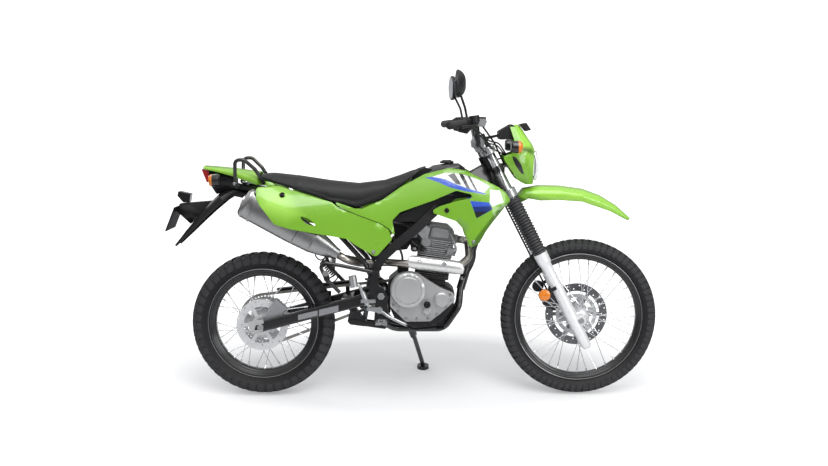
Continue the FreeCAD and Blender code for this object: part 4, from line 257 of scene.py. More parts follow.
def finish(name, colour, rough=0.5, metal=0.0, coat=0.0, mottle=0.06, mottle_size=14.0, rough_play=0.08,
           bump=0.0, bump_size=350.0, grain="noise", stretch=(1, 1, 1), spec=0.5):
    """A procedural finish in object space: colour and roughness drift with a soft noise, and a fine relief is
    the height of a noise, a cell pattern or a wave."""
    material = bpy.data.materials.new(name)
    material.use_nodes = True
    tree = material.node_tree
    place = wired(tree, "TexCoord").outputs["Object"]
    drift = wired(tree, "TexNoise", {"Vector": place, "Scale": mottle_size, "Detail": 5}).outputs["Fac"]
    dark, light = (tuple(min(1.0, c * (1 + way * mottle)) for c in colour) + (1,) for way in (-1, 1))
    blend = wired(tree, "Mix", {"Factor": drift, "A": dark, "B": light}, data_type="RGBA")
    gloss = wired(tree, "MapRange", {"Value": drift, "To Min": max(0.02, rough - rough_play),
                                     "To Max": min(1.0, rough + rough_play)})
    shader = tree.nodes["Principled BSDF"]
    tree.links.new(blend.outputs["Result"], shader.inputs["Base Color"])
    tree.links.new(gloss.outputs["Result"], shader.inputs["Roughness"])
    for socket, value in (("Metallic", metal), ("Coat Weight", coat), ("Coat Roughness", 0.06),
                          ("Specular IOR Level", spec)):
        shader.inputs[socket].default_value = value
    if bump:
        kind = {"noise": "TexNoise", "cells": "TexVoronoi", "wave": "TexWave"}[grain]
        run = wired(tree, "Mapping", {"Vector": place, "Scale": stretch})
        relief = wired(tree, kind, {"Vector": run.outputs["Vector"], "Scale": bump_size})
        height = relief.outputs["Distance" if grain == "cells" else "Fac"]
        raised = wired(tree, "Bump", {"Height": height, "Strength": bump, "Distance": 0.0006})
        tree.links.new(raised.outputs["Normal"], shader.inputs["Normal"])
    return material


def flowing(marks, count, wrap=False):
    """A Catmull-Rom curve through the marks, sampled evenly in its parameter."""
    marks = np.asarray(marks, float)
    total = len(marks) if wrap else len(marks) - 1
    share = np.linspace(0, total, count, endpoint=not wrap)
    cell = np.minimum(share.astype(int), total - 1)
    t = (share - cell)[:, None]
    if wrap:
        a, b, c, d = (marks[(cell + step) % len(marks)] for step in (-1, 0, 1, 2))
    else:
        padded = np.vstack([2 * marks[0] - marks[1], marks, 2 * marks[-1] - marks[-2]])
        a, b, c, d = (padded[cell + step] for step in (0, 1, 2, 3))
    return 0.5 * (2 * b + (c - a) * t + (2 * a - 5 * b + 4 * c - d) * t ** 2 + (3 * b - a - 3 * c + d) * t ** 3)


def full_turn(steps):
    """Even angles round one turn."""
    return np.linspace(0, 2 * np.pi, steps, endpoint=False)


def spun(profile, centre, steps):
    """A closed profile of (across, radius) carried round the y axis through centre."""
    profile = np.asarray(profile, float)
    turn = full_turn(steps)
    across = np.broadcast_to(profile[:, 0], (steps, len(profile)))
    radius = profile[:, 1]
    grid = np.stack([np.cos(turn)[:, None] * radius, across, np.sin(turn)[:, None] * radius], axis=-1)
    return tiles(grid + np.asarray(centre, float), wrap_rows=True, wrap_columns=True)


def mirrored(side, *middle):
    """A section of (across, radius) from its one side: that side, the middle point, and the side's mirror image."""
    return side + list(middle) + [(-across, radius) for across, radius in reversed(side)]


def tyre_section(radius, width, rim_radius, rim_width, tread):
    """The carcass: up each sidewall from the bead, over a round crown that lies a tread's depth below the
    tyre's radius, and back inside at the casing's thickness."""
    bead = rim_width / 2 - 3.5 - 0.3
    half = width / 2
    belly = (radius + rim_radius) / 2
    crown = radius - tread
    right = [(bead, rim_radius - 11), (bead + 1, rim_radius + 3), (bead + 5, rim_radius + 7),
             (half - 2.5, belly - 10), (half - 1.2, belly), (half - 3, belly + 9),
             (half * 0.80, crown - (crown - belly) * 0.44),
             (half * 0.52, crown - (crown - belly) * 0.16), (half * 0.2, crown - 1)]
    inside = [(-bead + 5, rim_radius - 11), (-half + 10, belly), (-half * 0.45, crown - 9)]
    return np.vstack([flowing(mirrored(right, (0, crown)), 72), flowing(mirrored(inside, (0, crown - 7)), 20)])


def capped_copies(grids):
    """Many closed tubes at once, as capped() makes one: grids is (copies, rings, around, 3)."""
    copies = len(grids)
    _, faces = capped(grids[0])
    points = np.concatenate([grids.reshape(copies, -1, 3), grids[:, [0, -1]].mean(2)], axis=1)
    shift = (np.arange(copies) * points.shape[1])[:, None, None]
    return points.reshape(-1, 3), [(block[None] + shift).reshape(-1, block.shape[1]) for block in faces]


def tread_blocks(centre, radius, width, rim_radius, tread, pitches, low, high, start, end, skew, side):
    """One row of tread blocks: a block's foot is sunk in the carcass and its walls lean in to its top. A corner at
    share a of the half width and t of the pitch lies at the angle (t + skew a) pitch, on the crown's curve."""
    half = width / 2
    belly = (radius + rim_radius) / 2
    curve = flowing([(0, radius), (half * 0.2, radius - 0.6), (half * 0.52, radius - (radius - belly) * 0.15),
                     (half * 0.80, radius - (radius - belly) * 0.40),
                     (half * 0.975, belly + (radius - belly) * 0.22), (half * 1.0, belly - 3)], 60)
    shares = np.linspace(0, 1, 60)
    edge = np.array([(0, 0), (0.33, 0), (0.67, 0), (1, 0), (1, 0.5), (1, 1), (0.67, 1), (0.33, 1), (0, 1),
                     (0, 0.5)])
    rings = []
    for depth, lean in ((tread + 1.5, 0.0), (0.9, 0.06), (0.0, 0.14)):
        spot = 0.5 + (edge - 0.5) * (1 - lean)
        across = low + (high - low) * spot[:, 0]
        along = start + (end - start) * spot[:, 1]
        flat = np.interp(np.abs(across), shares, curve[:, 0]) * np.sign(across) * side
        level = np.interp(np.abs(across), shares, curve[:, 1]) - depth
        rings.append((flat, level, (along + skew * np.abs(across)) * 2 * np.pi / pitches))
    flat, level, angle = (np.array(values) for values in zip(*rings))
    stagger = 0.5 if side < 0 else 0.0
    turns = angle[None] + (np.arange(pitches) + stagger)[:, None, None] * 2 * np.pi / pitches
    grids = np.stack([np.cos(turns) * level, np.broadcast_to(flat, turns.shape), np.sin(turns) * level], axis=-1)
    return capped_copies(grids + np.asarray(centre))


rubber = finish("Tyre_rubber", (0.012, 0.012, 0.013), rough=0.58, rough_play=0.12, mottle=0.25, mottle_size=26,
                bump=0.35, bump_size=900, spec=0.35)
# The tread blocks are a lighter rubber than the carcass: partly dust on the tread, partly a painted highlight
tread_dust_and_sheen = finish("Tread_rubber", (0.036, 0.036, 0.038), rough=0.72, rough_play=0.10, mottle=0.30,
                      mottle_size=40, bump=0.35, bump_size=700, spec=0.30)
# Each row: from and to in shares of the half width, from and to in shares of the pitch, and its skew
TREAD_ROWS = (
    (-0.12, 0.12, 0.08, 0.80, 0.0),
    (0.17, 0.42, 0.05, 0.66, 0.60),
    (0.46, 0.66, 0.12, 0.84, 0.30),
    (0.69, 0.83, 0.06, 0.90, 0.30),
    (0.86, 0.98, 0.16, 0.80, 0.30),
)
for end, centre, radius, width, rim_radius, rim_width, tread, pitches in (
        ("front", FRONT_AXLE, 341, 80, 279, 50, 6.0, 72),
        ("rear", REAR_AXLE, 313, 110, 241, 64, 7.0, 46)):
    carcass = spun(tyre_section(radius, width, rim_radius, rim_width, tread), centre, 180)
    blocks = []
    for row in TREAD_ROWS:
        for side in ((1,) if row[0] < 0 else (1, -1)):
            blocks.append(tread_blocks(centre, radius, width, rim_radius, tread, pitches, *row, side))
    piece_of(end + "_tyre_moulded", [carcass], rubber, end + "_wheel", "tyre_rubber", end + "_tyre", sharp=30)
    piece_of(end + "_tread_blocks", blocks, tread_dust_and_sheen, end + "_wheel", "tyre_rubber", sharp=30)

# Rims: rolled alloy painted black, with a bright bead of bare metal along each edge, and 36 spoke holes
# whose nipples stand in the bed.
rim_paint = finish("Rim_black", (0.009, 0.009, 0.010), rough=0.30, coat=0.35, mottle=0.2, rough_play=0.06)
bare_edge = finish("Rim_bare_edge", (0.36, 0.36, 0.37), rough=0.30, metal=1.0, mottle=0.08)


def rim_section(radius, width, depth):
    """Two flanges with rolled edges, the bead seats and the round bed between them, at the sheet's thickness."""
    half = width / 2
    outside = [(half, radius - 1), (half + 0.2, radius - 8), (half - 2.5, radius - 13.5), (half - 7, radius - 16),
               (half * 0.5, radius - depth + 1)]
    inside = [(-half + 1.5, radius), (-half + 3.2, radius - 2), (-half + 3.5, radius - 11),
              (-half + 9, radius - 13)]
    return np.vstack([flowing(mirrored(outside, (0, radius - depth)), 44),
                      flowing(mirrored(inside, (0, radius - depth + 8)), 30)])


def ring_bead(centre, radius, across, thick):
    """A round wire bent to a ring at across on the axle's line."""
    turn = full_turn(8)
    return spun(np.stack([across + thick * np.cos(turn), radius + thick * np.sin(turn)], axis=-1), centre, 180)


for end, centre, radius, width, depth in (("front", FRONT_AXLE, 279, 50, 27), ("rear", REAR_AXLE, 241, 64, 33)):
    piece_of(end + "_rim_rolled", [spun(rim_section(radius, width, depth), centre, 180)], rim_paint,
             end + "_wheel", "rim_black", end + "_rim")
    beads = [ring_bead(centre, radius - 1.0, side * (width / 2 - 0.6), 1.5) for side in (-1, 1)]
    piece_of(end + "_rim_edges", beads, bare_edge, end + "_wheel", "rim_black")

# Hubs and spokes: a cast and turned hub with two flanges, and 36 crossed wire spokes that bend at the
# flange, thin out along their length and end in nipples at the rim.
hub_metal = finish("Hub_cast", (0.60, 0.61, 0.62), rough=0.38, metal=0.9, mottle=0.12, mottle_size=30,
                   bump=0.12, bump_size=700)
spoke_steel = finish("Spoke_steel", (0.72, 0.73, 0.75), rough=0.22, metal=1.0, mottle=0.05)
SPOKE_COUNT = 36
LACING = math.radians(48)


def swept(path, radius, around):
    """A round bar along a path: each ring is turned square to the path's direction there, and radius may be one
    number or one per point."""
    path = np.asarray(path, float)
    ahead = np.gradient(path, axis=0)
    ahead /= np.linalg.norm(ahead, axis=1)[:, None]
    side = np.cross(ahead, (0.0, 0.0, 1.0))
    weak = np.linalg.norm(side, axis=1) < 1e-3
    side[weak] = np.cross(ahead[weak], (0.3, 1, 0.2))
    side /= np.linalg.norm(side, axis=1)[:, None]
    over = np.cross(side, ahead)
    turn = full_turn(around)
    size = np.broadcast_to(np.asarray(radius, float), len(path))[:, None, None]
    ring = np.cos(turn)[None, :, None] * side[:, None] + np.sin(turn)[None, :, None] * over[:, None]
    return path[:, None] + size * ring


def spokes_of(centre, flange_radius, flange_at, rim_bed):
    """All spokes of one wheel: spoke i leaves the flange at the lacing angle before or after its rim hole."""
    count = SPOKE_COUNT
    i = np.arange(count)
    side = np.where(i % 2, 1, -1)
    way = np.where((i // 2) % 2, 1, -1)
    rim_turn = 2 * np.pi * i / count
    hub_turn = rim_turn + way * LACING
    flange = np.stack([flange_radius * np.cos(hub_turn), side * (flange_at + way * 3.4),
                       flange_radius * np.sin(hub_turn)], axis=-1)
    seat = np.stack([rim_bed * np.cos(rim_turn), side * 4.0, rim_bed * np.sin(rim_turn)], axis=-1)
    inward = flange - np.stack([np.zeros(count), side * way * 6.5, np.zeros(count)], axis=-1)
    along = (seat - flange) / np.linalg.norm(seat - flange, axis=1)[:, None]
    bars, nipples = [], []
    for k in range(count):
        bend = flange[k] + along[k] * 4
        wire = [inward[k], inward[k] * 0.3 + flange[k] * 0.7, bend, flange[k] + along[k] * 30,
                seat[k] - along[k] * 14]
        bars.append(capped(swept(np.array(wire) + centre, [2.0, 2.0, 2.0, 1.75, 1.75], 8)))
        nut = [seat[k] - along[k] * s for s in (20, 19, 6, 5, -2)]
        nipples.append(capped(swept(np.array(nut) + centre, [2.2, 3.1, 3.1, 3.6, 3.6], 8)))
    return bars + nipples


def hub_shape(length, body, flange_radius, flange_at, bore=8.6):
    """The hub's turned section: end bosses, two flanges with rounded rims and a waist between them."""
    half = length / 2
    right = [(half, bore), (half, body * 0.78), (half - 6, body * 0.82), (flange_at + 6, body),
             (flange_at + 3.4, body + 5), (flange_at + 2.8, flange_radius - 1), (flange_at + 1.6, flange_radius),
             (flange_at - 1.6, flange_radius), (flange_at - 2.8, flange_radius - 1), (flange_at - 3.4, body + 7),
             (flange_at - 12, body - 1), (flange_at * 0.4, body - 3)]
    return mirrored(right)


for end, centre, length, body, flange_radius, flange_at, bed in (
        ("front", FRONT_AXLE, 90, 20, 46, 30, 252), ("rear", REAR_AXLE, 116, 30, 62, 38, 208)):
    hub = spun(hub_shape(length, body, flange_radius, flange_at), centre, 72)
    piece_of(end + "_hub_cast", [hub], hub_metal, end + "_wheel", "hub_silver", end + "_hub", sharp=30)
    piece_of(end + "_spokes", spokes_of(centre, flange_radius - 4, flange_at, bed - 0.5), spoke_steel,
             end + "_wheel", "hub_silver")

# Brake discs: stainless plate, ground flat and drilled, and bolted to the hubs. The front one, on the wheel's far
# side, is coloured darker, and a cast carrier of two rings and six webs backs it. The rear one is coloured light:
# partly the steel's own colour, partly a painted highlight.


def merged(node, name, flat=False):
    """A copy of a CAD node's mesh with its triangles merged to one skin, and its flat faces joined if flat."""
    made = bmesh.new()
    made.from_mesh(frame["nodes"][node].data)
    bmesh.ops.remove_doubles(made, verts=made.verts, dist=2e-5)
    if flat:
        bmesh.ops.dissolve_limit(made, angle_limit=math.radians(0.6), verts=made.verts, edges=made.edges)
    mesh = bpy.data.meshes.new(name)
    made.to_mesh(mesh)
    made.free()
    return mesh


def from_cad(node, name, material, slot, sharp=32, soften=0.0):
    """A dressed copy of a rigid node, with its edges rounded by soften millimetres."""
    item = shown(name, merged(node, name, soften > 0), sharp)
    if soften:
        edge = item.modifiers.new("Edge", "BEVEL")
        edge.width = soften / 1000
        edge.segments = 2
        edge.limit_method = "ANGLE"
        edge.angle_limit = math.radians(40)
        edge.harden_normals = True
    return fitted(item, material, frame["nodes"][node]["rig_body"], slot, node)


darker_disc = finish("Disc_ground_dark", (0.20, 0.20, 0.21), rough=0.30, metal=1.0, mottle=0.25, mottle_size=7,
                   bump=0.10, bump_size=1500)
# The rear disc's light colour is partly the steel's own and partly a painted highlight
highlit_disc_steel = finish("Disc_steel", (0.80, 0.80, 0.81), rough=0.34, metal=0.5, mottle=0.06, bump=0.10,
                    bump_size=1500)
from_cad("front_disc", "front_disc_drilled", darker_disc, "steel", sharp=25)
from_cad("rear_disc", "rear_disc_drilled", highlit_disc_steel, "steel", sharp=25)
CARRIER_Y = (44.5, 48.5)
WEB_COUNT = 6
near, far = CARRIER_Y
carrier = [spun([(near, low), (near, high), (far, high), (far, low)], FRONT_AXLE, 96)
           for low, high in ((30, 56), (74, 91))]
for turn in full_turn(WEB_COUNT) + 0.3:
    way = np.array((math.cos(turn), 0, math.sin(turn)))
    wide = np.array((-math.sin(turn), 0, math.cos(turn)))
    ends = np.array([way * r + wide * w for r, w in ((50, -17), (80, -13), (80, 13), (50, 17))]) + FRONT_AXLE
    carrier.append(capped(np.stack([ends + (0, y, 0) for y in (near + 0.3, far - 0.3)])))
piece_of("front_disc_carrier", carrier, hub_metal, "front_wheel", "steel", sharp=30)

# Drive chain: a roller chain of riveted side plates on the left, with steel sprockets at both ends.
# Every link is two waisted plates on two pins; inner and outer links alternate round the loop.
chain_steel = finish("Chain_steel", (0.42, 0.40, 0.37), rough=0.36, metal=1.0, mottle=0.2, mottle_size=60)
sprocket_steel = finish("Sprocket_steel", (0.55, 0.55, 0.56), rough=0.34, metal=1.0, mottle=0.1, mottle_size=40,
                        bump=0.08, bump_size=900)
PITCH = 15.875
LINK_COUNT = 108
SPROCKET_FRONT = np.array((-87.0, 70, 458))
SPROCKET_REAR = np.array((-690.0, 70, 313))


def belt_line(small, small_radius, large, large_radius, count):
    """Evenly spaced points on the closed line round two circles: both arcs and the two straight tangents."""
    gap = np.array(large)[[0, 2]] - np.array(small)[[0, 2]]
    reach = np.linalg.norm(gap)
    heading = math.atan2(gap[1], gap[0])
    tilt = math.acos((small_radius - large_radius) / reach)
    arc_small = np.linspace(heading + tilt, heading + 2 * math.pi - tilt, 400)
    arc_large = np.linspace(heading - tilt, heading + tilt, 800)
    line = np.vstack([
        np.array(small)[[0, 2]] + small_radius * np.stack([np.cos(arc_small), np.sin(arc_small)], axis=-1),
        np.array(large)[[0, 2]] + large_radius * np.stack([np.cos(arc_large), np.sin(arc_large)], axis=-1)])
    line = np.vstack([line, line[:1]])
    run = np.concatenate([[0], np.cumsum(np.linalg.norm(np.diff(line, axis=0), axis=1))])
    at_run = np.linspace(0, run[-1], count, endpoint=False)
    return np.stack([np.interp(at_run, run, line[:, k]) for k in (0, 1)], axis=-1)


def at_depth(flat, y):
    """Side-view points (..., x and z) as points of the bike at one y."""
    return np.stack([flat[..., 0], np.full(flat.shape[:-1], y), flat[..., 1]], axis=-1)


def chain_links(line, middle_y):
    """The chain's plates and rollers: a plate's outline is two round ends of radius 7.2 with a waist between."""
    step = np.roll(line, -1, axis=0) - line
    heading = np.arctan2(step[:, 1], step[:, 0])
    turn = full_turn(20)
    half = PITCH / 2
    bow = 7.2 - 2.0 * np.exp(-((np.cos(turn) * 15) / 6.0) ** 2)
    shape = np.stack([np.sign(np.cos(turn)) * half + bow * np.cos(turn), bow * np.sin(turn)], axis=-1)
    middle = (line + np.roll(line, -1, axis=0)) / 2
    cosine, sine = np.cos(heading), np.sin(heading)
    flat = np.stack([middle[:, :1] + shape[:, 0] * cosine[:, None] - shape[:, 1] * sine[:, None],
                     middle[:, 1:] + shape[:, 0] * sine[:, None] + shape[:, 1] * cosine[:, None]], axis=-1)
    parts = []
    for first, near, thick in ((0, 3.4, 1.6), (1, 5.2, 1.6)):
        some = flat[first::2]
        for side in (-1, 1):
            rings = [at_depth(some, middle_y + side * y) for y in (near, near + thick)]
            parts.append(capped_copies(np.stack(rings, axis=1)))
    around = full_turn(10)
    for radius, reach in ((5.0, 3.3), (2.4, 8.2)):
        some = np.stack([line[:, :1] + radius * np.cos(around), line[:, 1:] + radius * np.sin(around)], axis=-1)
        rings = [at_depth(some, middle_y + y) for y in (-reach, reach)]
        parts.append(capped_copies(np.stack(rings, axis=1)))
    return parts


chain_line = belt_line(SPROCKET_FRONT, 35.7, SPROCKET_REAR, 113.8, LINK_COUNT)
piece_of("drive_chain_links", chain_links(chain_line, SPROCKET_REAR[1]), chain_steel, "chassis", "sprocket_steel",
         "drive_chain", sharp=30)
from_cad("rear_sprocket", "rear_sprocket_cut", sprocket_steel, "sprocket_steel")

# Fork: cast and painted lower legs that slide on hard-chromed tubes. Ribbed rubber gaiters, clipped at both ends,
# keep dirt off the tubes.
FORK_OUT = 22.454
FORK_Y = 95
RAKE = math.radians(27)
STEER_BASE = np.array((644.154, 0, 317.64))


def steered(places):
    """(out, left, up) from the steering axis to upright bike places: the axis leans back by the rake."""
    places = np.asarray(places, float)
    out = np.array((math.cos(RAKE), 0, math.sin(RAKE)))
    up = np.array((-math.sin(RAKE), 0, math.cos(RAKE)))
    return STEER_BASE + places[..., :1] * out + places[..., 1:2] * np.array((0, 1, 0)) + places[..., 2:] * up


def lathe(profile, base, axis, steps):
    """A turned solid: a profile of (along, radius) about the axis through base, with closed poles where the
    radius is 0, and else flat ends."""
    profile = np.asarray(profile, float)
    axis = np.asarray(axis, float) / np.linalg.norm(axis)
    side = np.cross(axis, (0.0, 1.0, 0.0) if abs(axis[1]) < 0.9 else (1.0, 0.0, 0.0))
    side /= np.linalg.norm(side)
    over = np.cross(axis, side)
    turn = full_turn(steps)
    ring = np.cos(turn)[:, None] * side + np.sin(turn)[:, None] * over
    radius = np.maximum(profile[:, 1], 0.01)
    grid = np.asarray(base, float) + profile[:, 0][:, None, None] * axis + radius[:, None, None] * ring
    return capped(grid)


leg_paint = finish("Fork_leg_silver", (0.82, 0.82, 0.83), rough=0.34, metal=0.25, coat=0.3, mottle=0.05,
                   bump=0.08, bump_size=800)
chrome = finish("Hard_chrome", (0.50, 0.51, 0.52), rough=0.12, metal=1.0, mottle=0.03, rough_play=0.03)
boot_rubber = finish("Boot_rubber", (0.034, 0.034, 0.036), rough=0.46, mottle=0.2, bump=0.2, bump_size=800)
bolt_steel = finish("Bolt_steel", (0.55, 0.55, 0.56), rough=0.30, metal=1.0, mottle=0.1, mottle_size=50)
from_cad("fork_lower_legs", "fork_leg_castings", leg_paint, "fork_silver")
from_cad("fork_stanchions", "fork_tubes", chrome, "hard_chrome")
from_cad("front_axle", "front_axle_bar", bolt_steel, "steel", soften=0.4)


def bellows(low, high, ribs, valley, crest):
    """A ribbed boot's profile: the radius swings between valley and crest as a raised cosine, with plain cuffs."""
    along = np.linspace(0, 1, ribs * 10 + 1)
    wave = 0.5 - 0.5 * np.cos(2 * np.pi * ribs * along)
    radius = valley + (crest - valley) * wave ** 0.8
    body = np.stack([low + 10 + (high - low - 20) * along, radius], axis=-1)
    cuff_low = [(low, valley - 3), (low, valley + 2.5), (low + 8, valley + 2.5)]
    cuff_high = [(high - 8, valley + 1.5), (high, valley + 1.5), (high, valley - 3)]
    return np.vstack([cuff_low, body, cuff_high])


boots = []
for side in (-1, 1):
    foot, top = steered((FORK_OUT, side * FORK_Y, 0)), steered((FORK_OUT, side * FORK_Y, 100))
    boots.append(lathe(bellows(340.5, 605.5, 19, 25.2, 30.9), foot, top - foot, 48))
piece_of("fork_boots", boots, boot_rubber, "steering", "grip_rubber", "fork_gaiters", sharp=60)

# Triple clamps and bar risers: cast and machined alloy, clamped on the fork tubes. The bar is bent steel tube,
# painted black, with rubber grips pushed on and a moulded perch for each lever.
cast_alloy = finish("Cast_alloy", (0.46, 0.47, 0.48), rough=0.34, metal=0.85, mottle=0.08, mottle_size=30,
                    bump=0.15, bump_size=600)
bar_paint = finish("Bar_black", (0.010, 0.010, 0.011), rough=0.30, coat=0.4, mottle=0.2)
from_cad("triple_clamps", "fork_clamps", cast_alloy, "engine_silver", soften=1.0)
from_cad("handlebar_clamp", "bar_risers", cast_alloy, "engine_silver", soften=1.0)
from_cad("handlebar", "handlebar_tube", bar_paint, "black_bar", sharp=50)
grip_rubber = finish("Grip_rubber", (0.010, 0.010, 0.011), rough=0.66, mottle=0.2, bump=0.5, bump_size=420,
                     grain="cells")
from_cad("grips", "grip_sleeves", grip_rubber, "grip_rubber")
dark_plastic = finish("Dark_plastic", (0.009, 0.009, 0.010), rough=0.42, mottle=0.12, bump=0.22, bump_size=520,
                      spec=0.35)
from_cad("hand_levers", "lever_sets", dark_plastic, "black_plastic", soften=0.8)

# Mirrors: black moulded teardrop shells on bent steel stems that screw into the lever perches, each with a
# silvered glass pressed into its flat side
MIRROR_HEAD = np.array((140.0, 342, 1344))
MIRROR_TOE_IN = 7
from_cad("mirrors", "mirror_sets", dark_plastic, "black_plastic", soften=2.0)
MIRROR_RIM = [(-50, -38), (6, -56), (58, -44), (72, -4), (62, 36), (10, 55), (-48, 38), (-70, 2)]


def mirror_form(side, stations):
    """A teardrop loft across the mirror: a smooth closed curve through the rim, scaled by each station's share at
    its depth, and turned inwards by the toe-in."""
    rim = flowing(MIRROR_RIM, 72, wrap=True)
    turn = math.radians(side * MIRROR_TOE_IN - 90)
    along = np.array((math.cos(turn), math.sin(turn), 0))
    ahead = np.array((-math.sin(turn), math.cos(turn), 0))
    head = MIRROR_HEAD * (1, side, 1)
    rings = [head + side * share * rim[:, :1] * along + ahead * depth + share * rim[:, 1:] * np.array((0.0, 0, 1))
             for depth, share in stations]
    return capped(np.stack(rings))


MIRROR_SHELL = ((-1.0, 0.93), (-0.6, 0.97), (1, 1.0), (5, 1.02), (11, 0.98), (17, 0.92), (23, 0.82), (28, 0.71),
                (32, 0.58), (35, 0.42), (36.5, 0.2))
piece_of("mirror_shells", [mirror_form(side, MIRROR_SHELL) for side in (-1, 1)], dark_plastic, "steering",
         "black_plastic", sharp=50)
mirror_glass = finish("Mirror_glass", (0.80, 0.81, 0.82), rough=0.05, metal=1.0, mottle=0.02, rough_play=0.02)
glasses = [mirror_form(side, ((-1.6, 0.86), (-1.4, 0.87), (-0.5, 0.87))) for side in (-1, 1)]
piece_of("mirror_glasses", glasses, mirror_glass, "steering", "steel", sharp=40)

# Front fender and lamp cowl: glossy lime-green injection mouldings, bolted under the lower clamp and to the
# lamp's bracket. The cowl is a thin shell with a hollow cheek at each side, and a slot at each side painted black
# as shade in place of a recess. Both carry painted highlights and painted shade.
# Beside the moulded green: a darker green painted as shade and a lighter green painted as highlight
GREEN = (0.185, 0.425, 0.022)
PAINTED_SHADE_GREEN = (0.070, 0.175, 0.008)
PAINTED_HIGHLIGHT_GREEN = (0.290, 0.600, 0.050)
BLACK = (0.006, 0.006, 0.007)


def green_panel(name):
    """The moulded-in green, under a clear gloss."""
    return finish(name, GREEN, rough=0.28, coat=0.6, mottle=0.04, mottle_size=5, rough_play=0.04, bump=0.03,
                  bump_size=90)


def painted(material, fields):
    """Paints flat fields on a finish in side view. Each field is a convex outline in upright (x, z) millimetres,
    its colour and, if it fades in, its softness: a point's depth is its least distance inside the outline's edges,
    and the colour comes in fully at the softness."""
    tree = material.node_tree
    base = tree.nodes["Principled BSDF"].inputs["Base Color"]
    colour = base.links[0].from_socket
    place = wired(tree, "TexCoord").outputs["Object"]
    upright = wired(tree, "Mapping", {"Vector": place, "Location": tuple(STANCE / 1000), "Rotation": (-LEAN, 0, 0),
                                      "Scale": (0.001, 0.001, 0.001)}, vector_type="TEXTURE").outputs["Vector"]
    for outline, shade, *own_soft in fields:
        ends = outline[1:] + outline[:1]
        turn = sum(a[0] * b[1] - b[0] * a[1] for a, b in zip(outline, ends))
        depth = None
        for (x0, z0), (x1, z1) in zip(outline, ends):
            length = math.copysign(math.hypot(x1 - x0, z1 - z0), turn)
            inward = ((z0 - z1) / length, 0, (x1 - x0) / length)
            along = wired(tree, "VectorMath", {0: upright, 1: inward}, operation="DOT_PRODUCT").outputs["Value"]
            edge = inward[0] * x0 + inward[2] * z0
            level = wired(tree, "Math", {0: along, 1: edge}, operation="SUBTRACT").outputs[0]
            if depth is not None:
                level = wired(tree, "Math", {0: depth, 1: level}, operation="MINIMUM").outputs[0]
            depth = level
        soft = own_soft[0] if own_soft else 0.5
        share = wired(tree, "MapRange", {"Value": depth, "From Min": -0.1 * soft, "From Max": soft})
        layers = {"Factor": share.outputs["Result"], "A": colour, "B": tuple(shade) + (1,)}
        colour = wired(tree, "Mix", layers, data_type="RGBA").outputs["Result"]
    tree.links.new(colour, base)
    return material


# The fender's top is painted lighter as a highlight, and its part under the cowl darker as painted shade
fender_green = painted(green_panel("Green_fender"), [
    ([(470, 940), (920, 940), (920, 760), (640, 830), (470, 870)], PAINTED_HIGHLIGHT_GREEN, 16.0),
    ([(340, 900), (398, 880), (446, 925), (455, 850), (340, 830)], PAINTED_SHADE_GREEN, 2.0)])
from_cad("front_fender", "front_fender_moulding", fender_green, "green_panel", sharp=40)
# The cowl's upper part and nose are painted lighter as a highlight, its slots black as painted shade, and a band
# above the lamp darker as painted shade
cowl_green = painted(green_panel("Green_cowl"), [
    ([(372, 1180), (440, 1180), (500, 1080), (500, 1000), (470, 930), (440, 1000), (420, 1080)], PAINTED_HIGHLIGHT_GREEN, 18.0),
    ([(386, 1048), (404, 1040), (426, 1010), (440, 966), (424, 974), (402, 1004), (390, 1030)], BLACK, 0.8),
    ([(366, 1100), (476, 1085), (492, 1050), (480, 1046), (366, 1074)], PAINTED_SHADE_GREEN, 14.0)])
COWL_WALL = 3.0
CHEEK_DEPTH = 7.0
CHEEK_Z = 1005
# Each level: its height, the x of its back edge, the x of its nose and half its width
COWL_LEVELS = np.array((
    (1178, 378, 421, 40), (1170, 380, 427, 52), (1150, 385, 441, 64), (1121, 394, 461, 76), (1093, 403, 480, 84),
    (1071, 408, 489, 90), (1061, 396, 491, 94), (1050, 366, 492, 99), (1042, 350, 492, 101), (1021, 360, 492, 100),
    (1000, 373, 491, 97), (979, 389, 490, 91), (957, 403, 489, 83), (940, 418, 487, 72),
    (924, 448, 484, 56)), float)


def shelled(outer, inner):
    """A closed shell between two open grids of one shape: both faces, and the strip round their rims."""
    rows, columns = outer.shape[:2]
    points, quads = tiles(outer)
    count = len(points)
    index = np.arange(count).reshape(rows, columns)
    rim = np.concatenate([index[0], index[1:, -1], index[-1, -2::-1], index[-2:0:-1, 0]])
    ahead = np.roll(rim, -1)
    strip = np.stack([ahead, rim, rim + count, ahead + count], axis=-1)
    return np.vstack([points, inner.reshape(-1, 3)]), [quads, quads[:, ::-1] + count, strip]


def squared(wave, power):
    """A sine or cosine with its sign kept and its size raised to power, which squares the round that it draws."""
    return np.sign(wave) * np.abs(wave) ** power


def cowl_skin(inset):
    """The cowl's skin, inset by so many millimetres: at each level a rounded bow from one back edge round the
    nose to the other, with a shallow hollow either side of the lamp."""
    rows = flowing(COWL_LEVELS, 64)
    swing = np.linspace(-1, 1, 61) * np.pi / 2
    level, back, nose, half = (rows[:, k][:, None] for k in range(4))
    bow = squared(np.sin(swing), 0.72)
    cheek = CHEEK_DEPTH * np.exp(-((np.abs(bow) - 0.72) / 0.13) ** 2) * np.exp(-((level - CHEEK_Z) / 34.0) ** 2)
    x = back + (nose - inset - back) * np.cos(swing) ** 0.62 - cheek
    y = (half - inset) * bow
    return np.stack([x, y, level + 0 * y], axis=-1)


piece_of("lamp_cowl_moulding", [shelled(cowl_skin(0.0), cowl_skin(COWL_WALL))], cowl_green, "steering",
         "green_panel", "headlight_cowl", sharp=48)


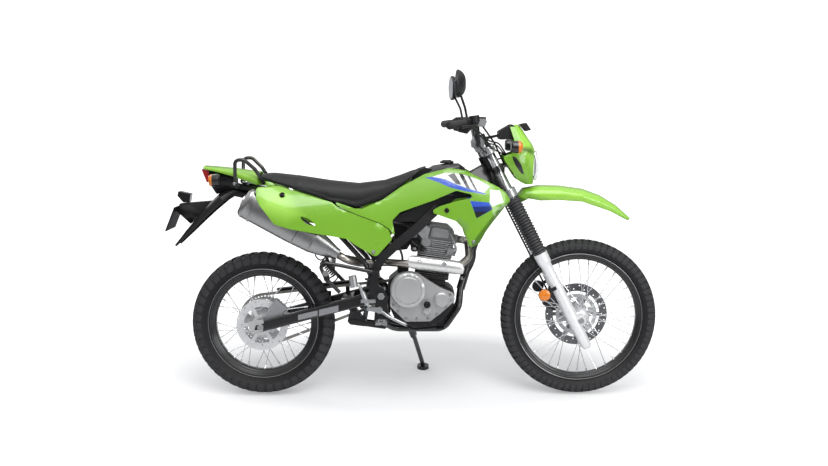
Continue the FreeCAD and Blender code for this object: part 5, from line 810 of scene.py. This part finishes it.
def plate_of(outline, y0, y1, edge=1.0):
    """A flat plate: a convex side outline in (x, z) carried from y0 to y1, drawn in by edge at both faces."""
    outline = np.asarray(outline, float)
    middle = outline.mean(0)
    reach = np.linalg.norm(outline - middle, axis=1)[:, None]
    drawn = middle + (outline - middle) * (1 - edge / reach)
    way = math.copysign(min(edge, abs(y1 - y0) / 2), y1 - y0)
    stations = ((drawn, y0), (outline, y0 + way), (outline, y1 - way), (drawn, y1))
    return capped(np.stack([at_depth(flat, y) for flat, y in stations]))


visor = plate_of([(424, 1180), (452, 1186), (472, 1156), (450, 1150)], -44, 44, 2.5)
piece_of("cowl_top_bracket", [visor], dark_plastic, "steering", "black_plastic", sharp=30)

# Headlamp, meter, signals and front brake: clear and amber plastic lenses in black cases, screwed to the lamp's
# bracket. The headlamp's glass is a shallow dome. The caliper is cast and painted black, and its hose is rubber.
lamp_glass = painted(
    finish("Lamp_lens", (0.72, 0.74, 0.76), rough=0.08, coat=0.6, mottle=0.02, rough_play=0.02),
    [([(290, 940), (290, 1060), (430, 1060), (430, 940)], BLACK)])
from_cad("headlamp", "headlamp_unit", lamp_glass, "headlamp_lens", soften=0.8)
LENS_X, LENS_Z, LENS_RISE, LENS_WALL = 484, 1002, 22, 6.0
across, rise = np.meshgrid(np.linspace(-1, 1, 33), np.linspace(-1, 1, 33))
dome = np.sqrt(np.clip(1 - 0.5 * across ** 2 - 0.5 * rise ** 2, 0, 1))
face = np.stack([LENS_X + LENS_RISE * dome, 60 * across * (1 - 0.18 * rise ** 2),
                 LENS_Z + 64 * rise * (1 - 0.12 * across ** 2)], axis=-1)
clear = finish("Lamp_clear", (0.80, 0.82, 0.84), rough=0.06, coat=0.8, mottle=0.04, bump=0.5, bump_size=60,
               grain="wave")
piece_of("headlamp_glass", [shelled(face, face - np.array((LENS_WALL, 0, 0)))], clear, "steering",
         "headlamp_lens", sharp=60)
from_cad("meter", "meter_case", dark_plastic, "black_plastic", soften=1.5)
AMBER = (0.72, 0.20, 0.010)
amber = finish("Amber_lens", AMBER, rough=0.14, coat=0.6, mottle=0.18, mottle_size=60)
front_lamp = painted(finish("Signal_front", BLACK, rough=0.20, coat=0.5, mottle=0.1),
                     [([(406, 1050), (406, 1120), (440, 1120), (440, 1050)], AMBER)])
from_cad("front_signals", "front_signal_set", front_lamp, "amber_lens", soften=1.0)
caliper_paint = finish("Caliper_black", (0.025, 0.025, 0.027), rough=0.36, metal=0.3, coat=0.3, mottle=0.15)
from_cad("front_caliper", "front_caliper_body", caliper_paint, "caliper_black", soften=1.2)
hose_rubber = finish("Hose_rubber", (0.018, 0.018, 0.018), rough=0.42, mottle=0.1, bump=0.1, bump_size=1200)
from_cad("front_brake_hose", "front_hose", hose_rubber, "grip_rubber", sharp=60)

# Side reflectors: a round amber prism plate pressed into a black cup. A steel strap behind each fork leg holds it
# clear of the spokes.
discs, cups = [], []
for side in (-1, 1):
    seat_at, out = (528, side * 122, 454), (0, side, 0)
    discs.append(lathe([(2, 25), (7, 24.5), (8.5, 22), (9, 0)], seat_at, out, 48))
    cups.append(lathe([(-4, 12), (-3, 24), (3, 26.5), (5, 26.5)], seat_at, out, 48))
    cups.append(plate_of([(520, 446), (520, 462), (575, 492), (582, 478)], side * 116, side * 120))
piece_of("side_reflectors", discs, amber, "steering", "amber_lens", sharp=30)
piece_of("reflector_cups", cups, dark_plastic, "steering", "black_plastic", sharp=30)

# Bar fittings: switch blocks moulded in black plastic inside the grips, the front brake's cast reservoir under
# its screwed lid, and the two cast clamps that hold the bar


def both_sides(parts):
    """The parts and their mirror images across the bike's middle plane."""
    return parts + [(np.asarray(points) * (1, -1, 1), faces) for points, faces in parts]


BLOCK_SIDE = [(150, 1150), (186, 1142), (206, 1164), (203, 1202), (190, 1212), (160, 1210), (146, 1186)]
blocks = both_sides([plate_of(BLOCK_SIDE, -232, -284, 5.0)])
piece_of("switch_blocks", blocks, dark_plastic, "steering", "black_plastic", sharp=35)
RESERVOIR_SIDE = [(206, 1174), (262, 1170), (270, 1190), (266, 1206), (214, 1208), (203, 1196)]
castings = [plate_of(RESERVOIR_SIDE, -178, -222, 4.0),
            lathe([(0, 13), (26, 13), (30, 10), (30.5, 0)], (196, -226, 1186), (0.2, 1, 0), 32)]
castings += both_sides([plate_of([(220, 1080), (262, 1072), (274, 1098), (264, 1128), (230, 1130), (216, 1104)],
                                 -26, -54, 3.0)])
piece_of("reservoir_and_bar_clamps", castings, cast_alloy, "steering", "engine_silver", sharp=35)
lid = [plate_of([(208, 1206), (266, 1204), (267, 1211), (209, 1213)], -176, -224, 2.0)]
piece_of("reservoir_lid", lid, dark_plastic, "steering", "black_plastic", sharp=35)

# Wiring and control cables: black sleeves from the two hand controls to the plugs behind the lamp cowl. They hang
# in loose curves and turn with the steering, as the lamp does.
SLEEVE_RADIUS = 3.4
sleeve = finish("Cable_sleeve", (0.008, 0.008, 0.009), rough=0.40, mottle=0.1, bump=0.1, bump_size=1200)
CABLE_RUNS = (
    ((196, -262, 1178), (238, -226, 1150), (286, -150, 1112), (330, -84, 1098), (364, -46, 1052)),
    ((200, -252, 1172), (250, -206, 1128), (296, -128, 1082), (330, -74, 1064), (366, -44, 1046)),
    ((196, 262, 1178), (244, 220, 1146), (290, 140, 1100), (334, 80, 1086), (364, 46, 1050)),
    ((214, -214, 1152), (232, -170, 1108), (268, -128, 1066), (316, -86, 1034), (360, -52, 1040)),
)
for k, marks in enumerate(CABLE_RUNS):
    line = flowing(marks, 40)
    cable = piece_of("control_cable_%d" % (k + 1), [capped(swept(line, SLEEVE_RADIUS, 10))], sleeve, "steering",
                     "grip_rubber", sharp=60)
    spots = leant(line)
    length = float(np.linalg.norm(np.diff(spots, axis=0), axis=1).sum())

# Frame and running gear: welded steel spars, cradle and pivot plates, painted satin black. The swingarm, linkage
# and stand turn on steel bolts, and the pedals and pegs are pinned to brackets.
frame_paint = finish("Frame_black", (0.008, 0.008, 0.009), rough=0.30, coat=0.45, mottle=0.18, mottle_size=20,
                     bump=0.06, bump_size=500)
shock_paint = finish("Spring_paint", (0.10, 0.10, 0.105), rough=0.30, coat=0.4, mottle=0.1)
# The pedals' front parts, where they run under the engine, are painted black as shade
pedal_metal = painted(finish("Pedal_metal", (0.46, 0.47, 0.48), rough=0.34, metal=0.85, mottle=0.08),
                      [([(-70, 300), (-70, 420), (120, 420), (120, 300)], BLACK, 12.0)])
for node, name, paint, slot, soften in (
        ("frame_main", "frame_weldment", frame_paint, "black_frame_paint", 1.5),
        ("rear_subframe", "rear_frame", frame_paint, "black_frame_paint", 0.0),
        ("swingarm", "swingarm_weldment", frame_paint, "black_frame_paint", 1.2),
        ("side_stand", "side_stand_leg", frame_paint, "black_frame_paint", 0.8),
        ("shock_linkage", "linkage_plates", frame_paint, "steel", 0.6),
        ("pivot_bolt", "pivot_bolt_set", bolt_steel, "steel", 0.6),
        ("rear_axle", "rear_axle_bar", bolt_steel, "steel", 0.5),
        ("rear_shock", "rear_shock_unit", shock_paint, "shock_body", 0.0),
        ("rear_caliper", "rear_caliper_body", cast_alloy, "caliper_black", 1.2),
        ("rear_master_cylinder", "rear_master_set", cast_alloy, "black_plastic", 0.6),
        ("foot_controls", "foot_levers", pedal_metal, "black_frame_paint", 0.6),
        ("footpegs", "rider_pegs", bolt_steel, "steel", 0.4),
        ("passenger_pegs", "passenger_peg_set", frame_paint, "black_frame_paint", 0.6),
        ("chain_guard", "chain_guard_moulding", dark_plastic, "black_plastic", 0.5)):
    from_cad(node, name, paint, slot, sharp=40 if node == "rear_shock" else 32, soften=soften)

# Engine: an air-cooled single, cast in alloy and bolted up in layers, with a black case and barrel, polished
# silver covers and a plain head. The intake's duct is moulded black plastic.
case_black = finish("Case_black", (0.016, 0.016, 0.017), rough=0.44, metal=0.35, mottle=0.15, bump=0.2,
                    bump_size=420)
cover_silver = finish("Cover_silver", (0.52, 0.52, 0.52), rough=0.34, metal=0.6, coat=0.2, mottle=0.05,
                      mottle_size=9, bump=0.12, bump_size=520)
from_cad("crankcase", "crankcase_castings", case_black, "engine_black", soften=2.0)
from_cad("engine_covers", "engine_cover_castings", cover_silver, "engine_silver", soften=2.0)
from_cad("cylinder", "cylinder_barrel", case_black, "engine_black", soften=0.6)
head_metal = finish("Head_metal", (0.27, 0.27, 0.275), rough=0.36, metal=0.8, mottle=0.2, mottle_size=30, bump=0.2,
                     bump_size=500)
from_cad("cylinder_head", "cylinder_head_casting", head_metal, "engine_silver", soften=0.8)
from_cad("intake", "intake_set", dark_plastic, "black_plastic", soften=1.5)

# Exhaust: a bent header pipe darkened by heat, a pressed steel shield screwed over it and a brushed oval
# silencer, rolled and welded, with a folded band before its end cap
PIPE_Y = -130.0
SHIELD_MIDDLE = (62, 586)
SHIELD_FALL = 0.126
SHIELD_WALL = 1.6


def line_fields(marks, width, shade):
    """A thin painted line: one narrow field along each stretch between the marks."""
    fields = []
    for (x0, z0), (x1, z1) in zip(marks, marks[1:]):
        length = math.hypot(x1 - x0, z1 - z0)
        nx, nz = (z0 - z1) / length * width / 2, (x1 - x0) / length * width / 2
        stretch = [(x0 + nx, z0 + nz), (x0 - nx, z0 - nz), (x1 - nx, z1 - nz), (x1 + nx, z1 + nz)]
        fields.append((stretch, shade, 0.3))
    return fields


pipe_steel = finish("Pipe_steel", (0.46, 0.43, 0.40), rough=0.30, metal=1.0, mottle=0.25, mottle_size=12)
shield_steel = finish("Shield_steel", (0.78, 0.78, 0.77), rough=0.28, metal=0.85, mottle=0.05)
# The lighter field over the silencer's upper rear end is partly its polished end ring and partly a painted
# highlight
brushed = painted(
    finish("Brushed_steel", (0.36, 0.36, 0.36), rough=0.27, metal=1.0, mottle=0.10, bump=0.05, bump_size=300,
           stretch=(0.2, 1, 4)),
    line_fields([(-500, 762), (-548, 690)], 3.0, (0.03, 0.03, 0.03))
    + [([(-800, 870), (-752, 925), (-700, 925), (-760, 830)], (0.62, 0.62, 0.62), 10.0)])
from_cad("exhaust_header", "header_pipe", pipe_steel, "exhaust_pipe", sharp=60)


def shield_skin(inset):
    """A half tube about the pipe's line, inset by so many millimetres: the arc narrows and draws in at both
    ends."""
    share = np.linspace(-1, 1, 41)[:, None]
    swing = np.linspace(-1, 1, 25)[None, :] * np.radians(82) * (1 - np.abs(share) ** 7) ** 0.35
    radius = 23 - inset + 7 * np.sqrt(1 - share ** 8)
    x = SHIELD_MIDDLE[0] + 122 * share + 0 * swing
    z = SHIELD_MIDDLE[1] - SHIELD_FALL * (x - SHIELD_MIDDLE[0]) + radius * np.sin(swing)
    return np.stack([x, PIPE_Y - radius * np.cos(swing), z], axis=-1)


piece_of("header_shield", [shelled(shield_skin(0.0), shield_skin(SHIELD_WALL))], shield_steel, "chassis", "steel",
         "heat_shield", sharp=50)
MUFFLER_FRONT = np.array((-352.0, PIPE_Y, 628))
MUFFLER_REAR = np.array((-750.0, PIPE_Y, 858))
MUFFLER_RUN = MUFFLER_REAR - MUFFLER_FRONT
MUFFLER_WAY = MUFFLER_RUN / np.linalg.norm(MUFFLER_RUN)


def oval_loft(stations):
    """Rounded-oval rings along the silencer: each station is its share of the length, its width and its height."""
    over = np.cross(MUFFLER_WAY, (0.0, 1.0, 0.0))
    turn = full_turn(64)
    across, high = squared(np.cos(turn), 0.84), squared(np.sin(turn), 0.84)
    rings = [MUFFLER_FRONT + MUFFLER_RUN * share + width / 2 * across[:, None] * np.array((0.0, 1.0, 0.0))
             + height / 2 * high[:, None] * over for share, width, height in stations]
    return capped(np.stack(rings))


SILENCER_BODY = ((0.0, 33, 48), (0.04, 38, 54), (0.14, 57, 82), (0.26, 75, 108), (0.262, 77, 110),
                 (0.272, 77, 110), (0.274, 76, 109), (0.5, 86, 123), (0.88, 91, 131))
SILENCER_END = ((0.87, 90, 130), (0.872, 97, 137), (0.89, 97, 137), (0.893, 94, 134), (0.945, 93, 133),
                (0.95, 95, 135), (0.966, 94, 134), (0.985, 88, 126), (1.0, 74, 106), (1.0, 60, 86))
bodies = [oval_loft(SILENCER_BODY), oval_loft(SILENCER_END),
          lathe([(-30, 26), (6, 26), (6, 22), (-24, 22), (-24, 0)], MUFFLER_REAR, MUFFLER_WAY, 40)]
piece_of("silencer", bodies, brushed, "chassis", "steel", "muffler", sharp=30)

# Tank and seat: a black tank under a screwed cap, and a foam pad on a moulded base under grained black vinyl,
# which is stretched over it and stapled below. The pad's cover is blown up as cloth.
tank_paint = finish("Tank_black", (0.012, 0.012, 0.013), rough=0.34, coat=0.4, mottle=0.1)
from_cad("fuel_tank", "fuel_tank_shell", tank_paint, "tank_black", sharp=40)
from_cad("fuel_cap", "fuel_cap_set", dark_plastic, "cap_black", soften=1.0)
vinyl = finish("Seat_vinyl", (0.013, 0.013, 0.014), rough=0.55, mottle=0.12, bump=0.35, bump_size=600,
               grain="cells", spec=0.35)
# In metres: the remesh's cell, how far the foam is drawn in before it is filled, and the most that a point rises
SEAT_CELL = 0.006
SEAT_DRAW = 0.0025
SEAT_RISE = 0.006
SEAT_PRESSURE = 4
SEAT_STEPS = 20


def applied(item):
    """Puts the shape that an object's modifiers give now into its mesh."""
    shape = bpy.data.meshes.new_from_object(item.evaluated_get(bpy.context.evaluated_depsgraph_get()))
    item.modifiers.clear()
    item.data = shape
    return shape


def points_of(mesh):
    """The mesh's vertices and their normals as two arrays."""
    places = np.empty(len(mesh.vertices) * 3, np.float32)
    mesh.vertices.foreach_get("co", places)
    ways = np.empty(len(mesh.vertices) * 3, np.float32)
    mesh.vertex_normals.foreach_get("vector", ways)
    return places.reshape(-1, 3), ways.reshape(-1, 3)


def stuffed(node, name):
    """A foam pad under its cover: the node's shape remeshed evenly and drawn in, then blown up as cloth that is
    held at its underside; a point moves SEAT_RISE at most."""
    item = shown(name, merged(node, name), 180)
    cells = item.modifiers.new("Cells", "REMESH")
    cells.mode = "VOXEL"
    cells.voxel_size = SEAT_CELL
    mesh = applied(item)
    places, ways = points_of(mesh)
    under = np.clip(-(ways[:, 2] + 0.25) * 3, 0, 1)[:, None]
    start = places - ways * SEAT_DRAW * (1 - under)
    mesh.vertices.foreach_set("co", start.ravel())
    mesh.update()
    held = item.vertex_groups.new(name="held")
    held.add(np.nonzero(under[:, 0] > 0.5)[0].tolist(), 1.0, "REPLACE")
    filling = item.modifiers.new("Filling", "CLOTH")
    filling.settings.vertex_group_mass = "held"
    filling.settings.use_pressure = True
    filling.settings.uniform_pressure_force = SEAT_PRESSURE
    filling.settings.effector_weights.gravity = 0
    for step in range(1, SEAT_STEPS + 1):
        bpy.context.scene.frame_set(step)
    mesh = applied(item)
    item.vertex_groups.clear()
    bpy.context.scene.frame_set(1)
    ended, _ = points_of(mesh)
    moved = ended - start
    far = np.maximum(np.linalg.norm(moved, axis=1, keepdims=True), 1e-9)
    mesh.vertices.foreach_set("co", (start + moved * np.minimum(1, SEAT_RISE / far)).ravel())
    mesh.update()
    mesh.polygons.foreach_set("use_smooth", np.ones(len(mesh.polygons), bool))
    finer = item.modifiers.new("Finer", "SUBSURF")
    finer.levels = 1
    finer.render_levels = 1
    return item


seat = fitted(stuffed("seat", "seat_cover"), vinyl, "chassis", "seat_cover", "seat")

# Shrouds, side panels and tail: lime-green mouldings screwed to the tank and frame. The shrouds carry a printed
# film of white, blue and black fields. By position, the dark slots are painted black as shade in place of recesses,
# the steps are painted darker as shade, and lighter fields are painted as highlights.
WHITE = (0.78, 0.79, 0.80)
BLUE = (0.030, 0.095, 0.560)
# The first field paints the lower lobe, whose face turns down and forwards, darker as shade
shroud_green = painted(green_panel("Green_shroud"), [
    ([(372, 905), (372, 860), (233, 640), (205, 660), (222, 760), (236, 792), (301, 828), (340, 862)],
     PAINTED_SHADE_GREEN, 8.0),
    ([(46, 960), (97, 976), (130, 977), (100, 951)], WHITE),
    ([(100, 951), (130, 977), (176, 972), (150, 930)], WHITE),
    ([(150, 930), (176, 972), (235, 952), (205, 911)], WHITE),
    ([(205, 911), (235, 952), (288, 922), (262, 896)], WHITE),
    ([(14, 957), (46, 960), (100, 951), (72, 938)], BLUE),
    ([(72, 938), (100, 951), (150, 930), (122, 917)], BLUE),
    ([(122, 917), (150, 930), (205, 911), (180, 903)], BLUE),
    ([(180, 903), (205, 911), (262, 896), (272, 889)], BLUE),
    ([(112, 968), (140, 977), (170, 927), (146, 932)], BLACK),
    ([(158, 974), (176, 972), (206, 911), (190, 915)], BLACK),
    ([(194, 966), (206, 962), (236, 903), (226, 906)], BLACK),
    ([(288, 910), (330, 905), (346, 855), (297, 839), (285, 857)], WHITE),
    ([(204, 863), (283, 857), (296, 832), (233, 792), (226, 806)], BLUE),
    ([(214, 838), (292, 842), (298, 828), (233, 790)], (0.010, 0.030, 0.180)),
    ([(221, 818), (276, 819), (233, 790), (228, 796)], BLACK)])
from_cad("tank_shrouds", "shroud_mouldings", shroud_green, "green_panel", sharp=40)
# The panel's upper rear is painted lighter as a highlight
panel_green = painted(green_panel("Green_panel"), [
    ([(-700, 940), (-560, 915), (-480, 800), (-560, 760), (-700, 800)], (0.34, 0.66, 0.07), 60.0)])
from_cad("side_panels", "side_panel_mouldings", panel_green, "green_panel", sharp=40)
# The tail's top is painted lighter as a highlight
tail_green = painted(green_panel("Green_tail"), [
    ([(-940, 1010), (-620, 1010), (-620, 930), (-940, 960)], PAINTED_HIGHLIGHT_GREEN, 16.0)])
from_cad("tail_cowl", "tail_cowl_moulding", tail_green, "green_panel", sharp=40)

# Rear end: a black moulded mudguard with a blank plate, red and amber lenses in black cases, and bent steel grab
# bars bolted to the rear frame
from_cad("rear_mudguard", "rear_fender_moulding", dark_plastic, "black_plastic", sharp=40)
plate_black = finish("Plate_black", (0.006, 0.006, 0.007), rough=0.60, mottle=0.15, spec=0.2)
from_cad("plate_holder", "plate_holder_sheet", plate_black, "black_plastic", soften=1.0)
red_lens = painted(finish("Red_lens", (0.40, 0.010, 0.010), rough=0.14, coat=0.6, mottle=0.15, mottle_size=60),
                   [([(-1060, 840), (-1060, 935), (-960, 935), (-960, 840)], BLACK)])
from_cad("tail_lamps", "tail_lamp_set", red_lens, "red_lens", soften=0.8)
rear_lamp = painted(finish("Signal_rear", BLACK, rough=0.20, coat=0.5, mottle=0.1),
                    [([(-910, 910), (-910, 980), (-886, 980), (-886, 910)], AMBER)])
from_cad("rear_signals", "rear_signal_set", rear_lamp, "amber_lens", soften=1.0)
from_cad("grab_bars", "grab_bar_set", bar_paint, "black_bar", sharp=50)

# Gap plates: thin black plates that fill the gaps between the shrouds and the spars, and between the seat's nose
# and the tank, and stand in for the dark tank side behind and the shade that falls in those gaps. Each is a thin
# flat plate set against its neighbour.
GAP_SHADE_PLATES = ([(-122, 786), (-40, 820), (-14, 768), (-118, 768)], [(-40, 820), (30, 850), (60, 792), (-14, 768)],
               [(30, 850), (110, 878), (150, 872), (60, 792)], [(110, 878), (232, 890), (262, 878), (150, 866)])
covers = [plate_of(outline, -104, -108, 0.3) for outline in GAP_SHADE_PLATES]
covers.append(plate_of([(-70, 905), (-6, 990), (50, 990), (60, 905)], -40, -52, 1.0))
piece_of("gap_shade_plates", both_sides(covers), dark_plastic, "chassis", "black_plastic", sharp=30)

# Panel fasteners: silver and black socket screws of plated steel, each on a washer that is sunk into the
# moulding. They hold the shrouds, side panels and tail to the tank and the frame.


def bolts(name, places, material, body, slot, sides=6):
    """Bolt heads in one mesh: (place, axis, radius) each; a washer, a head with sides flats and a sunk face."""
    parts = []
    for place, axis, radius in places:
        washer = lathe([(0, radius * 1.3), (radius * 0.16, radius * 1.3)], place, axis, 20)
        head = lathe([(radius * 0.16, radius), (radius * 0.78, radius), (radius * 0.9, radius * 0.86),
                      (radius * 0.9, radius * 0.5), (radius * 0.5, radius * 0.42)], place, axis, sides)
        parts += [washer, head]
    piece_of(name, parts, material, body, slot, sharp=25)


silver_screws, black_screws = [], []
for side in (-1, 1):
    out = (0, side, 0)
    silver_screws += [((-202, side * 151, 643), out, 6.5), ((221, side * 190, 691), out, 6.0),
                      ((-791, side * 117, 931), out, 5.0)]
    black_screws += [((109, side * 168, 821), out, 8.5), ((-595, side * 150, 880), out, 10.0)]
bolts("panel_screws_silver", silver_screws, bolt_steel, "chassis", "steel", 18)
bolts("panel_screws_black", black_screws, dark_plastic, "chassis", "black_plastic", 18)

# Engine trim: the clutch cover's turned face, its ring of screws, the black timing plug and the head's cast side
# with its ribs
trim = [lathe([(0, 57), (1.6, 57), (3.2, 55), (3.6, 40), (3.8, 0)], (-54, -155.5, 478), (0, -1, 0), 72),
        lathe([(0, 27), (4, 27), (6, 25), (6.5, 0)], (89, -141.5, 436), (0, -1, 0), 48)]
piece_of("clutch_cover_face", trim, cover_silver, "chassis", "engine_silver", sharp=25)
COVER_SCREWS = ((-118, 412), (-98, 383), (-66, 353), (-18, 350), (30, 353), (66, 371), (106, 402), (130, 432),
                (124, 456))
bolts("cover_screws", [((x, -121.5, z), (0, -1, 0), 5.0) for x, z in COVER_SCREWS], bolt_steel, "chassis", "steel")
bolts("timing_plug", [((26, -141.5, 415), (0, -1, 0), 11.5)], dark_plastic, "chassis", "black_plastic", 24)
OIL_LINE = ((128, -70, 712), (140, -78, 680), (150, -76, 646), (140, -66, 616))
casting = [plate_of([(40, 700), (118, 690), (124, 700), (122, 728), (60, 742), (44, 736)], -62, -73, 3.0),
           plate_of([(108, 618), (140, 618), (144, 650), (112, 652)], -58, -80, 4.0),
           lathe([(0, 22), (9, 21), (12, 17), (12.5, 0)], (20, -62, 676), (0, -1, 0), 40),
           capped(swept(flowing(OIL_LINE, 24), 5.0, 12))]
casting += [plate_of([(50, z), (118, z - 3), (118, z + 1), (50, z + 4)], -72, -77, 1.0)
            for z in (700, 709, 718, 727)]
piece_of("head_side_casting", casting, cast_alloy, "chassis", "engine_silver", sharp=30)

# Cooling fins: thin cast ribs square to the tilted cylinder, bright where the head's are machined and dark on
# the painted barrel
CYLINDER_FOOT = np.array((44.5, 0, 512.0))
CYLINDER_TILT = math.radians(8)
FIN_THICK = 1.9


def fin_plate(rise, half_x, half_y):
    """One fin at rise up the cylinder: a rounded rectangle (a superellipse of power 8) lofted through its
    thickness, drawn in by half a millimetre at both faces."""
    turn = full_turn(64)
    along, across = squared(np.cos(turn), 0.25), squared(np.sin(turn), 0.25)
    up = np.array((math.sin(CYLINDER_TILT), 0, math.cos(CYLINDER_TILT)))
    level = np.array((up[2], 0, -up[0]))
    wide = np.array((0.0, 1, 0))
    rings = [CYLINDER_FOOT + up * (rise + lift) + level * (half_x - draw) * along[:, None]
             + wide * (half_y - draw) * across[:, None]
             for lift, draw in ((0, 0.5), (0.5, 0), (FIN_THICK - 0.5, 0), (FIN_THICK, 0.5))]
    return capped(np.stack(rings))


fin_metal = finish("Fin_alloy", (0.74, 0.75, 0.76), rough=0.34, metal=0.5, mottle=0.1, mottle_size=40)
fins = [fin_plate(rise, 75.5, 69.5) for rise in np.arange(102, 176, 8.6)]
piece_of("head_fins", fins, fin_metal, "chassis", "engine_silver", sharp=30)
dark_fins = [fin_plate(rise, 75.0, 67.0) for rise in np.arange(6, 94, 8.8)]
fin_dark = finish("Fin_dark", (0.16, 0.16, 0.165), rough=0.40, metal=0.7, mottle=0.1, mottle_size=40)
piece_of("cylinder_fins", dark_fins, fin_dark, "chassis", "engine_silver", sharp=30)

# Head screws and the engine hanger: plated hexagon screws in the head's castings, and a pressed steel plate
# bolted between the head and the spar
HEAD_SCREWS = ((52, -72, 668), (110, -72, 662), (116, -72, 716), (58, -72, 727), (106, -77, 618), (146, -77, 648),
               (108, -77, 648), (142, -77, 620))
bolts("head_screws", [(place, (0, -1, 0), 4.2) for place in HEAD_SCREWS], bolt_steel, "chassis", "steel")
hanger = [plate_of([(24, 752), (40, 738), (28, 698), (10, 690), (-14, 718), (-18, 736)], -110, -116, 1.2)]
piece_of("engine_hanger", hanger, cast_alloy, "chassis", "steel", sharp=30)
bolts("hanger_bolts", [((12, -116, 728), (0, -1, 0), 6.0), ((16, -116, 702), (0, -1, 0), 5.0),
                       ((180, -22, 512), (0, -1, 0), 6.0)], bolt_steel, "chassis", "steel")

# Plug lead, breather and drain hoses: black rubber, pushed on at both ends, between the engine and the frame.
# The plug's cap is a turned form on its lead.
leads = [capped(swept(flowing(marks, 30), size, 10)) for marks, size in (
    (((8, -66, 650), (-14, -92, 662), (-44, -90, 690), (-60, -60, 736), (-48, -30, 770)), 4.0),
    (((214, -40, 690), (232, -56, 650), (232, -60, 604), (214, -56, 556), (186, -30, 514)), 4.2),
    (((-120, -60, 700), (-96, -84, 660), (-80, -80, 610), (-88, -60, 560)), 5.0),
    (((-236, -70, 640), (-204, -84, 600), (-196, -80, 540), (-204, -60, 480)), 4.5))]
leads.append(lathe([(0, 9), (20, 9), (24, 12), (34, 12), (36, 0)], (22, -52, 640), (-0.55, -0.7, 0.3), 24))
piece_of("engine_leads", leads, hose_rubber, "chassis", "grip_rubber", sharp=60)

# Behind the spar: the airbox's lower corner, moulded in black plastic with its round flange, and the
# carburettor's cast float bowl and cap
duct = [plate_of([(-128, 762), (-30, 762), (-8, 716), (-30, 690), (-60, 640), (-104, 634)], -18, -34, 3.0),
        lathe([(0, 24), (16, 24), (20, 21), (21, 17), (26, 17), (26.5, 0)], (-26, -34, 672), (0, -1, 0), 36)]
piece_of("airbox_corner", duct, dark_plastic, "chassis", "black_plastic", sharp=35)
bowl = [lathe([(0, 17), (22, 17), (26, 14), (30, 8), (30.5, 0)], (-28, -34, 660), (0, -0.2, -1), 36),
        lathe([(0, 15), (14, 15), (18, 12), (18.5, 0)], (-28, -34, 700), (0, -1, 0.1), 36)]
piece_of("carburettor_bowl", bowl, cast_alloy, "chassis", "engine_silver", sharp=35)

# Heat shield screws, the pressed chain adjusters at the swingarm's ends, and the swingarm's two blank labels,
# which are printed film
bolts("shield_screws", [((-6, -152, 603), (0, -1, 0.15), 9.0), ((97, -157, 590), (0, -1, 0.15), 9.0)], bolt_steel,
      "chassis", "steel", 18)
ADJUSTER_SIDES = ([(-740, 336), (-678, 346), (-675, 330), (-712, 322), (-716, 300), (-732, 292)],
                  [(-732, 292), (-716, 300), (-680, 306), (-680, 296), (-728, 280)])
adjusters = [plate_of(outline, -112, -117, 1.0) for outline in ADJUSTER_SIDES]
piece_of("chain_adjusters", both_sides(adjusters), shield_steel, "chassis", "steel", sharp=30)
label_grey = finish("Label_grey", (0.24, 0.24, 0.25), rough=0.5, mottle=0.1)
labels = [plate_of([(-528, 366), (-444, 386), (-444, 363), (-528, 343)], -112.6, -113.4, 0.2),
          plate_of([(-438, 388), (-354, 408), (-354, 381), (-438, 361)], -112.6, -113.4, 0.2)]
piece_of("swingarm_labels", both_sides(labels), label_grey, "chassis", "steel", sharp=30)

# Return spring of the rear brake: a coil of black wire with a round hook at each end, between the peg bracket
# and the swingarm
COIL_TURNS = 9
COIL_RADIUS = 13
WIRE_RADIUS = 3.0
turns = np.linspace(0, 2 * np.pi * COIL_TURNS, 200)
start, reach = np.array((-424.0, -128, 604)), np.array((58.0, 0, -62))
side_way = np.array((0.0, 1.0, 0.0))
over_way = np.array((0.73, 0.0, 0.683))
coil = np.cos(turns)[:, None] * side_way + np.sin(turns)[:, None] * over_way
helix = start + (turns / turns[-1])[:, None] * reach + COIL_RADIUS * coil
hooks = [flowing([(-424, -128, 604), (-440, -128, 612), (-450, -128, 632), (-436, -128, 650), (-414, -128, 646),
                  (-408, -128, 622), (-416, -128, 606)], 40),
         flowing([(-366, -128, 544), (-386, -128, 530), (-404, -128, 518), (-396, -128, 506), (-372, -128, 512),
                  (-356, -128, 530), (-362, -128, 544)], 40)]
spring = [capped(swept(line, WIRE_RADIUS, 8)) for line in [helix] + hooks]
piece_of("return_spring", spring, hose_rubber, "chassis", "steel", sharp=60)
